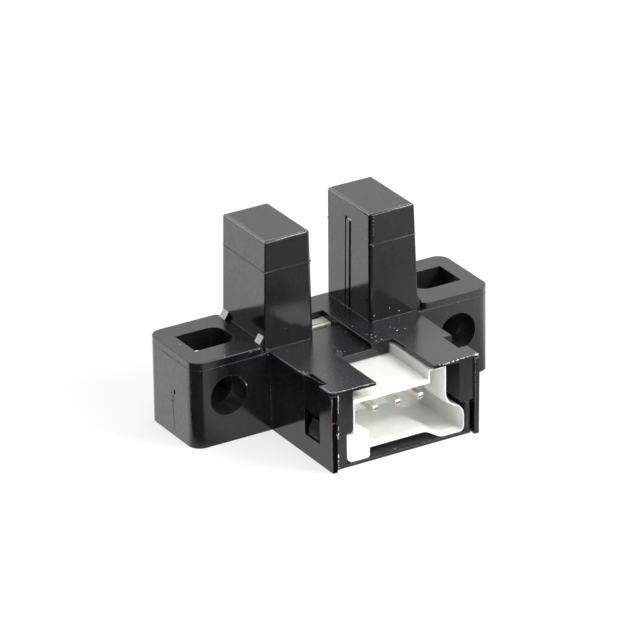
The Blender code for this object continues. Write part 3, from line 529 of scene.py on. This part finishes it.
def laminate(name):
    """Green solder mask over a woven glass board, with the copper showing faintly through."""
    graph = Graph(name)
    weave_x = graph.noise(0.25, detail=1.0, roughness=0.5, stretch=(4.0, 0.6, 1.0))
    weave_y = graph.noise(0.25, detail=1.0, roughness=0.5, stretch=(0.6, 4.0, 1.0))
    weave = graph.math("MULTIPLY", weave_x, weave_y)
    copper = graph.step(graph.cells(1.7, "Distance", "DISTANCE_TO_EDGE"), 0.10, 0.13)
    color = graph.blend(graph.step(weave, 0.15, 0.4), (0.020, 0.070, 0.030), (0.035, 0.115, 0.045))
    color = graph.blend(graph.math("MULTIPLY", copper, 0.6), color, (0.05, 0.16, 0.06))
    edge = graph.step(graph.math("ABSOLUTE", graph.facing("Z")), 0.6, 0.4)
    color = graph.blend(edge, color, (0.07, 0.07, 0.04))
    graph.plug("Base Color", color)
    graph.plug("Roughness", graph.step(graph.noise(0.6), 0.3, 0.7, 0.25, 0.42))
    graph.plug("Normal", graph.bump(graph.math("ADD", weave, copper), 0.015))
    return graph.material


def resin(name, thin, thick, clear):
    """Moulded optical epoxy."""
    graph = Graph(name)
    color = graph.blend(graph.step(graph.noise(0.9, detail=4.0), 0.3, 0.7), thin, thick)
    graph.plug("Base Color", color)
    graph.plug("Roughness", graph.step(graph.noise(0.5), 0.3, 0.7, 0.08, 0.22))
    graph.plug("Normal", graph.bump(graph.noise(1.2, detail=2.0), 0.015))
    graph.set(IOR=1.54, Transmission_Weight=clear)
    return graph.material


def tinned_ends(graph, middle, half_length):
    """Where along X, in metres, a chip part carries its tinned terminals."""
    offset = graph.math("ABSOLUTE", graph.math("SUBTRACT", graph.axis("X"), middle))
    return graph.step(offset, half_length - TIN_END * MM, half_length - TIN_FULL * MM)


def chip_material(name, body, half_length, middle):
    """A chip part whose ends are tinned terminals."""
    graph = Graph(name)
    terminal = tinned_ends(graph, middle * MM, half_length * MM)
    grain = graph.noise(0.12)
    paint = graph.blend(graph.step(grain, 0.3, 0.7), [0.8 * c for c in body], [1.2 * c for c in body])
    tin = graph.blend(grain, (0.60, 0.60, 0.58), (0.80, 0.80, 0.77))
    graph.plug("Base Color", graph.blend(terminal, paint, tin))
    graph.plug("Metallic", terminal)
    graph.plug("Roughness", graph.step(grain, 0.3, 0.7, 0.25, 0.45))
    graph.plug("Normal", graph.bump(grain, 0.01))
    return graph.material


def indicator_finish(name, low, high):
    """A chip lamp: clear lens, dark joint, pale ledge in front of it and tinned ends."""
    graph = Graph(name)
    ahead = graph.math("SUBTRACT", graph.axis("Y"), low.y)
    up = graph.math("SUBTRACT", graph.axis("Z"), low.z)
    terminal = tinned_ends(graph, (low.x + high.x) / 2, (high.x - low.x) / 2)
    grain = graph.noise(0.15)
    lens = graph.blend(grain, (0.50, 0.53, 0.45), (0.66, 0.68, 0.60))
    base = graph.blend(grain, (0.16, 0.17, 0.05), (0.26, 0.27, 0.12))
    ledge = graph.step(ahead, *(reach * MM for reach in INDICATOR_LEDGE))
    joint_front = graph.step(ahead, *(reach * MM for reach in INDICATOR_JOINT_FRONT))
    joint_back = graph.step(ahead, *(reach * MM for reach in INDICATOR_JOINT_BACK))
    joint = graph.math("MULTIPLY", joint_front, joint_back)
    crest = graph.step(up, *(high.z - low.z - reach * MM for reach in INDICATOR_CREST))
    foot = graph.step(up, *(reach * MM for reach in INDICATOR_FOOT))
    front = graph.blend(foot, (0.55, 0.55, 0.50), base)
    color = graph.blend(crest, front, lens)
    color = graph.blend(graph.math("MULTIPLY", crest, ledge), color, (0.80, 0.80, 0.74))
    color = graph.blend(graph.math("MULTIPLY", crest, joint), color, (0.012, 0.012, 0.010))
    tin = graph.blend(grain, (0.66, 0.66, 0.60), (0.86, 0.86, 0.80))
    low_end = graph.math("MULTIPLY", terminal, graph.step(crest, 1, 0))
    graph.plug("Base Color", graph.blend(low_end, color, tin))
    graph.plug("Roughness", graph.step(grain, 0.3, 0.7, 0.22, 0.4))
    graph.plug("Normal", graph.bump(grain, 0.012))
    return graph.material


def tone_behind(graph):
    """The bright part of the floor behind the switch, as glossy rays see it."""
    past = graph.math("MINIMUM", graph.math("SUBTRACT", graph.axis("X"), CORNER_X * MM), 0)
    lean = graph.math("ADD", graph.axis("Y"), graph.math("MULTIPLY", past, CORNER_SLOPE))
    return graph.step(lean, DARK_Y * MM, BRIGHT_Y * MM, 0, BRIGHT_TONE)


def tone_in_front(graph):
    """The floor in front of the switch and at its far right, as glossy rays see it."""
    near = graph.step(graph.axis("Y"), AHEAD_Y * MM, BESIDE_Y * MM)
    dip = graph.step(graph.axis("X"), DIP_X[0] * MM, DIP_X[1] * MM)
    dip = graph.math("MULTIPLY", dip, graph.step(graph.axis("X"), DIP_X[3] * MM, DIP_X[2] * MM))
    dip = graph.math("MULTIPLY", dip, graph.step(near, *DIP_NEAR))
    ahead = graph.step(graph.axis("X"), DARK_X * MM, BRIGHT_X * MM, DARK_TONE, SIDE_TONE)
    ahead = graph.math("MULTIPLY", ahead, graph.step(near, 0, 1, AHEAD_SHARE, 1))
    ahead = graph.math("MULTIPLY", ahead, graph.step(dip, 0, 1, 1, DIP_SHARE))
    far_side = graph.step(graph.axis("X"), FAR_SIDE_X * MM, 2 * FAR_SIDE_X * MM, 0, FAR_SIDE_TONE)
    far_side = graph.math("MULTIPLY", far_side, graph.step(near, 0, 1, FAR_SIDE_SHARE, 1))
    return graph.math("ADD", ahead, far_side)


def studio_floor(name):
    """A plain pale floor. Glossy rays see lighter and darker parts on it, like cards beside the switch."""
    graph = Graph(name)
    tone = graph.step(graph.noise(60.0), 0.3, 0.7, 0.90, 0.92)
    pale = graph.node("ShaderNodeCombineColor", {0: tone, 1: tone, 2: tone}).outputs["Color"]
    graph.plug("Base Color", pale)
    graph.set(Roughness=0.9, Specular_IOR_Level=0.1)
    glow = graph.math("MAXIMUM", tone_behind(graph), tone_in_front(graph))
    mirrored = graph.node("ShaderNodeEmission", {"Strength": glow}).outputs["Emission"]
    path = graph.node("ShaderNodeLightPath")
    white = graph.node("ShaderNodeEmission", {"Strength": FLOOR_GLOW}).outputs["Emission"]
    share = graph.math("MULTIPLY", path.outputs["Is Camera Ray"], FLOOR_WHITE)
    seen = graph.node("ShaderNodeMixShader", {0: share, 1: graph.shader.outputs["BSDF"], 2: white})
    glossy = path.outputs["Is Glossy Ray"]
    both = graph.node("ShaderNodeMixShader", {0: glossy, 1: seen.outputs["Shader"], 2: mirrored})
    output = graph.tree.nodes["Material Output"]
    graph.tree.links.new(both.outputs["Shader"], output.inputs["Surface"])
    return graph.material


def mesh_object(name, shape, *materials):
    """Turn a shape in millimetres into a piece in metres that rides on the switch."""
    bmesh.ops.recalc_face_normals(shape, faces=shape.faces)
    bmesh.ops.scale(shape, vec=(MM, MM, MM), verts=shape.verts)
    mesh = bpy.data.meshes.new(name)
    shape.to_mesh(mesh)
    shape.free()
    for material in materials:
        mesh.materials.append(material)
    piece = bpy.data.objects.new(name, mesh)
    bpy.context.scene.collection.objects.link(piece)
    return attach(piece, "root")


def welded_copy(source):
    """The node's faces as a closed shape in millimetres, with the flat ones joined."""
    shape = bmesh.new()
    shape.from_mesh(source.data)
    bmesh.ops.scale(shape, vec=(1 / MM, 1 / MM, 1 / MM), verts=shape.verts)
    bmesh.ops.remove_doubles(shape, verts=shape.verts, dist=WELD)
    flat = math.radians(FLAT_ANGLE)
    bmesh.ops.dissolve_limit(shape, angle_limit=flat, verts=shape.verts, edges=shape.edges)
    return shape


def beside_slit(first, second):
    """Whether an edge belongs to the slit in an arm's inner face."""
    close = all(abs(corner.y - SLIT_Y) < SLIT_CLEAR for corner in (first, second))
    return close and min(abs(first.x), abs(second.x)) < SLIT_REACH_X


def arm_rounding(first, second):
    upright = abs(first.z - second.z) > UPRIGHT
    if upright and min(abs(first.x), abs(second.x)) > ARM_MIDDLE_X:
        return ARM_FLANK_ROUNDING if first.y < SLIT_Y else ARM_REAR_ROUNDING
    return ARM_INNER_ROUNDING if upright else ARM_ROUNDING


def on_ear_rim(first, second):
    """Whether an edge runs round an ear's top, and not round its pocket."""
    near = min(abs(first.x), abs(second.x))
    far = max(abs(first.x), abs(second.x))
    front = min(first.y, second.y)
    back = max(first.y, second.y)
    level = all(abs(corner.z - EAR_HEIGHT) < LEVEL_GAP for corner in (first, second))
    at_front = front < EAR_FRONT + EAR_CORNER + NEAR_GAP
    at_back = back > EAR_BACK - EAR_CORNER - NEAR_GAP
    at_side = far > EAR_CORE[1] + EAR_RIM
    over_pocket = EAR_CORE[0] - NEAR_GAP < near and far < EAR_CORE[1] + POCKET_RIM
    pocket = over_pocket and front > EAR_FRONT + EAR_RIM
    return level and (at_front or at_back or at_side) and near > EAR_EDGES_FROM_X and not pocket


def housing_rounding(first, second):
    """How far the mould rounded the edge between two corners, or nothing."""
    low = min(first.z, second.z)
    high = max(first.z, second.z)
    if high > ARM_EDGES_FROM_Z and not beside_slit(first, second):
        return arm_rounding(first, second)
    if on_ear_rim(first, second):
        return EAR_ROUNDING
    at_wall = min(abs(first.x), abs(second.x)) > BLOCK_HALF - WALL_CLEAR
    in_front = max(first.y, second.y) < BLOCK_FRONT + FRONT_CLEAR
    if high - low > UPRIGHT and at_wall and in_front:
        return WALL_ROUNDING
    at_roof = low > BODY_HEIGHT - LEVEL_GAP and high < BODY_HEIGHT + LEVEL_GAP
    if at_roof and max(abs(first.x), abs(second.x)) < ROOF_HALF:
        return ROOF_ROUNDING
    return 0


def pin_rounding(first, second):
    return PIN_ROUNDING


def in_ear_core(face):
    """Whether a face, in millimetres, lies inside an ear's hole or pocket."""
    centre = face.calc_center_bounds()
    beside = EAR_CORE[0] < abs(centre.x) < EAR_CORE[1]
    between = EAR_FRONT + NEAR_GAP < centre.y < EAR_BACK - NEAR_GAP
    return beside and between and NEAR_GAP < centre.z < EAR_HEIGHT - NEAR_GAP


def at_left_lip(face):
    """Whether a face, in millimetres, is the narrow front of the left side wall, which is painted
    near-black as painted shade.
    """
    centre = face.calc_center_bounds()
    in_front = centre.y < BLOCK_FRONT + LIP_DEPTH and face.normal.y < FACING_FRONT
    return in_front and centre.x < -WALL_INNER and centre.z < RIB_TOP


def housing_slot(face):
    """The material slot of a housing face: black, core or the lip's painted shade."""
    if in_ear_core(face):
        return 1
    return 2 if at_left_lip(face) else 0


def weigh_edges(shape, rounding):
    """Mark the sharp outer edges with their share of the widest rounding, and return that."""
    layer = shape.edges.layers.float.new("bevel_weight_edge")
    widest = 0
    for edge in shape.edges:
        sharp = len(edge.link_faces) == 2 and edge.is_convex
        if sharp and edge.calc_face_angle(0) > math.radians(SHARP_ANGLE):
            edge[layer] = rounding(edge.verts[0].co, edge.verts[1].co)
            widest = max(widest, edge[layer])
    for edge in shape.edges:
        edge[layer] /= widest
        edge.smooth = edge.calc_face_angle(0) < math.radians(SMOOTH_ANGLE)
    return widest


def dress(node, material_slot, rounding, segments, *materials):
    """Stand in for a CAD node with its own shape, its edges rounded as the mould left them."""
    shape = welded_copy(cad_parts[node])
    bmesh.ops.recalc_face_normals(shape, faces=shape.faces)
    widest = weigh_edges(shape, rounding)
    for face in shape.faces:
        face.smooth = True
        if node == "housing":
            face.material_index = housing_slot(face)
    piece = mesh_object(node + "_dressed", shape, *materials)
    bevel = piece.modifiers.new("rounding", "BEVEL")
    bevel.width = widest * MM
    bevel.segments = segments
    bevel.limit_method = "WEIGHT"
    bevel.use_clamp_overlap = False
    bevel.material = len(materials) - 1
    evened = piece.modifiers.new("even_shading", "WEIGHTED_NORMAL")
    evened.keep_sharp = True
    evened.weight = 100
    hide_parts(node)
    return piece


def repaint(node, material):
    """Give a CAD node its finish and leave its shape."""
    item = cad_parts[node]
    item.data.materials.clear()
    item.data.materials.append(material)


def arc(x, y, radius, start, end, steps=6):
    turns = [math.radians(start + (end - start) * step / steps) for step in range(steps + 1)]
    return [(x + radius * math.cos(turn), y + radius * math.sin(turn)) for turn in turns]


def ridge(shape, path, z, proud):
    """A fine line of flash along a path of points, which run with the surface on their left."""
    rows = []
    for index, (x, y) in enumerate(path):
        before = Vector(path[max(index - 1, 0)])
        after = Vector(path[min(index + 1, len(path) - 1)])
        along = (after - before).normalized()
        out = Vector((along.y, -along.x))
        root = Vector((x, y)) - out * PARTING_ROOT
        crest = Vector((x, y)) + out * proud
        places = ((root, z - PARTING_HALF_HEIGHT), (crest, z), (root, z + PARTING_HALF_HEIGHT))
        rows.append([shape.verts.new((place.x, place.y, level)) for place, level in places])
    for first, second in zip(rows, rows[1:]):
        for low in range(3):
            high = (low + 1) % 3
            shape.faces.new((first[low], second[low], second[high], first[high]))
    shape.faces.new(rows[0])
    shape.faces.new(rows[-1])


def arm_outline(side, z):
    """The arm's outer flank, front and back at one height, counterclockwise seen from above."""
    rise = z - BODY_HEIGHT
    share = rise / ARM_HEIGHT
    inner = side * (SLOT_HALF + SLOT_DRAFT * share)
    outer = side * (ARM_OUTER - ARM_OUTER_DRAFT * share)
    front = ARM_FRONT + ARM_LEAN * share
    back = ARM_BACK + ARM_LEAN * share
    path = [(inner, front), (outer, front), (outer, back), (inner, back)]
    return path if side > 0 else path[::-1]


def ear_outline(side):
    outer = EAR_HALF - EAR_CORNER
    path = [(EAR_ROOT, EAR_FRONT)]
    path += arc(outer, EAR_FRONT + EAR_CORNER, EAR_CORNER, -90, 0)
    path += arc(outer, EAR_BACK - EAR_CORNER, EAR_CORNER, 0, 90)
    path.append((EAR_ROOT, EAR_BACK))
    if side > 0:
        return path
    return [(-x, y) for x, y in path[::-1]]


def make_parting_lines(name, lift, proud, material):
    """A line of flash round each arm and ear."""
    shape = bmesh.new()
    for side in (-1, 1):
        level = ARM_PARTING_Z + lift
        ridge(shape, arm_outline(side, level), level, proud)
        ridge(shape, ear_outline(side), EAR_PARTING_Z + lift, proud * EAR_PARTING_SHARE)
    piece = mesh_object(name, shape, material)
    return piece


def prism(shape, low_ring, high_ring):
    """A closed solid between two rings of points."""
    low = [shape.verts.new(point) for point in low_ring]
    high = [shape.verts.new(point) for point in high_ring]
    shape.faces.new(low)
    shape.faces.new(high)
    for index in range(len(low)):
        following = (index + 1) % len(low)
        shape.faces.new((low[index], low[following], high[following], high[index]))


def make_seam(material):
    """The strip that closes the gap between the left side wall and the rib and stile beside it."""
    shape = bmesh.new()
    inner = -(WALL_INNER - SEAM_WIDTH)
    front = RIB_FRONT - SEAM_PROUD
    back = RIB_FRONT + SEAM_PROUD
    outline = [(-WALL_INNER, front), (inner, front), (inner, back), (-WALL_INNER, back)]
    prism(shape, [(x, y, SEAM_BOTTOM) for x, y in outline], [(x, y, RIB_TOP) for x, y in outline])
    return mesh_object("wall_seam", shape, material)


def inset_plate(shape, side, reach, levels, depths):
    """A thin plate set into an arm's inner face, which leans with the draft."""
    rings = []
    for z in levels:
        face = SLOT_HALF + SLOT_DRAFT * (z - BODY_HEIGHT) / ARM_HEIGHT
        near = side * (face + depths[0])
        far = side * (face + depths[1])
        rings.append([(near, reach[0], z), (near, reach[1], z), (far, reach[1], z), (far, reach[0], z)])
    prism(shape, *rings)


def make_slit_strips(material):
    """The raised strip along each slit's step."""
    shape = bmesh.new()
    for side in (-1, 1):
        inset_plate(shape, side, STRIP_Y, (BODY_HEIGHT + STRIP_SILL, STRIP_TOP), STRIP_DEPTHS)
    return mesh_object("slit_strips", shape, material)


def make_slit_glint(material):
    """A painted glint: a small white plate at the top of the right arm's slit."""
    shape = bmesh.new()
    inset_plate(shape, 1, GLINT_Y, GLINT_Z, GLINT_DEPTHS)
    return mesh_object("slit_glint", shape, material)


def surface(seam):
    """All CAD faces and the seam's in one search tree, to find what a line of sight meets."""
    places = []
    faces = []
    for item in [*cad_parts.values(), seam]:
        start = len(places)
        places += [vertex.co.copy() for vertex in item.data.vertices]
        faces += [[start + index for index in face.vertices] for face in item.data.polygons]
    return BVHTree.FromPolygons(places, faces)


def landing(tree, camera, x, y):
    """Where the line of sight through a point of the photograph meets the switch."""
    half = IMAGE_SIDE / 2
    scale = SENSOR_WIDTH / IMAGE_SIDE
    offset = Vector(((x - half) * scale, (half - y) * scale, -CAMERA_LENS))
    direction = (camera.matrix_world.to_3x3() @ offset).normalized()
    place, normal = tree.ray_cast(camera.matrix_world.translation, direction)[:2]
    return (place / MM, normal) if place else (None, None)


def fleck(shape, place, normal, size):
    """A flat crumb that lies on the surface."""
    across = normal.orthogonal().normalized()
    along = normal.cross(across)
    turn = random.uniform(0, math.pi)
    first = across * math.cos(turn) + along * math.sin(turn)
    second = normal.cross(first) * random.uniform(*CRUMB_WIDTH)
    ring = []
    for step in range(CRUMB_SIDES):
        angle = 2 * math.pi * step / CRUMB_SIDES
        reach = size * random.uniform(*CRUMB_REACH)
        corner = place + first * math.cos(angle) * reach + second * math.sin(angle) * reach
        ring.append(shape.verts.new(corner))
    thick = min(size * CRUMB_RISE, CRUMB_THICK)
    crest = shape.verts.new(place + normal * thick)
    root = shape.verts.new(place - normal * thick)
    for index in range(CRUMB_SIDES):
        following = (index + 1) % CRUMB_SIDES
        shape.faces.new((ring[index], ring[following], crest))
        shape.faces.new((ring[following], ring[index], root))


def make_flecks(name, camera, tree, points, material):
    shape = bmesh.new()
    for x, y, size in points:
        place, normal = landing(tree, camera, x, y)
        if place:
            fleck(shape, place, normal, size)
    piece = mesh_object(name, shape, material)
    return piece


def crumbs(name, color):
    """Moulding dust and painted glints and highlights, in one colour with a fine grain."""
    graph = Graph(name)
    grain = graph.noise(0.05, detail=2.0, roughness=0.7)
    graph.plug("Base Color", graph.blend(grain, [0.8 * c for c in color], [1.1 * c for c in color]))
    graph.plug("Roughness", graph.step(grain, 0.3, 0.7, 0.4, 0.7))
    graph.plug("Normal", graph.bump(grain, 0.01))
    return graph.material


def scattered(start, end, count, size):
    """Points along a worn line of the photograph."""
    points = []
    for step in range(count):
        share = (step + random.uniform(-STEP_STRAY, STEP_STRAY)) / max(count - 1, 1)
        x = start[0] + (end[0] - start[0]) * share + random.uniform(-PLACE_STRAY, PLACE_STRAY)
        y = start[1] + (end[1] - start[1]) * share + random.uniform(-PLACE_STRAY, PLACE_STRAY)
        points.append((x, y, size * random.uniform(*SIZE_RANGE)))
    return points


def scatter_lines(lines):
    return tuple(point for line in lines for point in scattered(*line))


def make_camera():
    turn = math.radians(CAMERA_AZIMUTH)
    rise = math.radians(CAMERA_ELEVATION)
    back = Vector((math.sin(turn) * math.cos(rise), -math.cos(turn) * math.cos(rise), math.sin(rise)))
    data = bpy.data.cameras.new("camera")
    data.lens = CAMERA_LENS
    data.sensor_width = SENSOR_WIDTH
    data.clip_start, data.clip_end = CAMERA_CLIP
    camera = bpy.data.objects.new("camera", data)
    bpy.context.scene.collection.objects.link(camera)
    level = back.to_track_quat("Z", "Y").to_matrix().to_4x4()
    roll = Matrix.Rotation(math.radians(CAMERA_ROLL), 4, "Z")
    place = (Vector(CAMERA_TARGET) + back * CAMERA_DISTANCE) * MM
    camera.matrix_world = Matrix.Translation(place) @ level @ roll
    bpy.context.scene.camera = camera
    return camera


def make_lamp(name, place, target, size, power):
    data = bpy.data.lights.new(name, "AREA")
    data.shape = "RECTANGLE"
    data.size = size[0] * MM
    data.size_y = size[1] * MM
    data.energy = power
    lamp = bpy.data.objects.new(name, data)
    bpy.context.scene.collection.objects.link(lamp)
    away = Vector(place) - Vector(target)
    turned = away.to_track_quat("Z", "Y").to_matrix().to_4x4()
    lamp.matrix_world = Matrix.Translation(Vector(place) * MM) @ turned


def make_sky():
    """An even sky, dimmer at the left. The camera sees it white."""
    world = bpy.data.worlds.new("studio")
    world.use_nodes = True
    nodes = world.node_tree.nodes
    links = world.node_tree.links
    background = nodes["Background"]
    background.inputs["Color"].default_value = (1, 1, 1, 1)
    toward = nodes.new("ShaderNodeSeparateXYZ")
    links.new(nodes.new("ShaderNodeTexCoord").outputs["Generated"], toward.inputs["Vector"])
    tone = nodes.new("ShaderNodeMapRange")
    tone.interpolation_type = "SMOOTHSTEP"
    tone.inputs["From Min"].default_value = SKY_FADE[0]
    tone.inputs["From Max"].default_value = SKY_FADE[1]
    tone.inputs["To Min"].default_value = SKY_LEFT_TONE
    tone.inputs["To Max"].default_value = SKY_TONE
    links.new(toward.outputs["X"], tone.inputs["Value"])
    seen = nodes.new("ShaderNodeMix")
    seen.inputs["B"].default_value = 1.0
    links.new(nodes.new("ShaderNodeLightPath").outputs["Is Camera Ray"], seen.inputs["Factor"])
    links.new(tone.outputs["Result"], seen.inputs["A"])
    links.new(seen.outputs["Result"], background.inputs["Strength"])
    bpy.context.scene.world = world


def make_floor():
    shape = bmesh.new()
    reach = FLOOR_REACH * MM
    corners = ((-reach, -reach), (reach, -reach), (reach, reach), (-reach, reach))
    shape.faces.new([shape.verts.new((x, y, 0)) for x, y in corners])
    mesh = bpy.data.meshes.new("floor")
    shape.to_mesh(mesh)
    shape.free()
    mesh.materials.append(studio_floor("floor"))
    floor = bpy.data.objects.new("floor", mesh)
    bpy.context.scene.collection.objects.link(floor)


def make_studio():
    bpy.context.scene.view_settings.view_transform = "Standard"
    make_sky()
    for lamp in LAMPS:
        make_lamp(*lamp)
    make_floor()


def dress_mouldings(core):
    """Dress the housing and the cover, and return the seam's strip, because crumbs lie on it."""
    black = black_plastic("housing_black", HOUSING_TONE, gloss=0.09, grain=0.004, side_roughness=0.0)
    edge = edge_plastic("housing_edge", worn=0.02, light=0.28, gloss=0.12, shine=0.42)
    # The left wall's narrow front: near-black painted shade
    lip = shadow_black("lip_painted_shade")
    dress("housing", "housing_plastic", housing_rounding, 3, black, core, lip, edge)
    seam = make_seam(black)
    make_slit_strips(black)
    # White plate at the slit's top: a painted glint
    make_slit_glint(crumbs("glint_white", GLINT_WHITE))
    cover = black_plastic("cover_black", COVER_TONE, gloss=0.16, grain=0.007, side_roughness=0.75)
    repaint("bottom_cover", cover)
    return seam


def dress_connector():
    repaint("connector_header", nylon("header_nylon"))
    gold = metal("pin_gold_plate", *GOLD, STREAKS_ALONG_Y)
    for index in (1, 2, 3):
        dress("header_pin_%d" % index, "pin_gold", pin_rounding, 2, gold)


def dress_board():
    """The board, both packages, and every lead and solder joint."""
    repaint("circuit_board", laminate("board_mask"))
    repaint("emitter_package", resin("emitter_resin", *EMITTER_EPOXY))
    repaint("detector_package", resin("detector_resin", *DETECTOR_EPOXY))
    tin = metal("lead_tin_plate", *TIN, STREAKS_ALONG_Z)
    alloy = metal("solder_alloy", *SOLDER, NO_STREAKS)
    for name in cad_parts:
        if "_lead_" in name:
            repaint(name, tin)
        if "_solder_" in name:
            repaint(name, alloy)


def add_parting_lines(core):
    """The flash where the mould parted, and a dull line above it that reads as its shadow."""
    flash = edge_plastic("parting_flash", worn=0.05, light=0.04, gloss=0.35, shine=0.3)
    make_parting_lines("parting_lines", 0, PARTING_PROUD, flash)
    make_parting_lines("parting_shadows", PARTING_LIFT, PARTING_PROUD * SHADOW_LINE_SHARE, core)


def dress_chips():
    for name, body, half_length, middle in CHIPS:
        repaint(name, chip_material(name + "_finish", body, half_length, middle))
    low, high = (Vector(corner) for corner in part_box("indicator_led"))
    repaint("indicator_led", indicator_finish("indicator_finish", low, high))


def add_flecks(camera, seam):
    """The crumbs, the painted glints and highlights, and the dark marks, cast onto the switch from the
    photograph's camera.
    """
    tree = surface(seam)
    # Dull crumbs, with a painted edge highlight among the worn lines
    worn = scatter_lines(WORN_AND_HIGHLIGHT_LINES)
    # Bright crumbs, with painted glints among them
    pale = BRIGHT_FLECKS + GLINTS + scatter_lines(WHITE_LINES)
    make_flecks("bright_flecks", camera, tree, pale, crumbs("bright_dust_and_glints", BRIGHT_DUST_AND_GLINT))
    make_flecks("dull_flecks", camera, tree, DULL_FLECKS + worn, crumbs("dull_dust_and_highlight", DULL_DUST_AND_HIGHLIGHT))
    dark = DARK_PITS + scatter_lines(DARK_LINES)
    make_flecks("pits", camera, tree, dark, shadow_black("pit_black"))
    make_flecks("red_crumbs", camera, tree, RED_CRUMBS, crumbs("red_dust", RED_DUST))


random.seed(SEED)
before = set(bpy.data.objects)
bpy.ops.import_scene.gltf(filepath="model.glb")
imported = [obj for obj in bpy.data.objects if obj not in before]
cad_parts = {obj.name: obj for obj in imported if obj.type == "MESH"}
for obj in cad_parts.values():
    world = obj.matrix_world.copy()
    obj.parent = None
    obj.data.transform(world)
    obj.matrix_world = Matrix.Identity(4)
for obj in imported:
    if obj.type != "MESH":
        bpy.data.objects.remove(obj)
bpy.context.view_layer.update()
viewpoint = make_camera()
make_studio()
core_black = core_plastic("housing_core")
wall_seam = dress_mouldings(core_black)
dress_connector()
dress_board()
add_parting_lines(core_black)
add_flecks(viewpoint, wall_seam)
dress_chips()
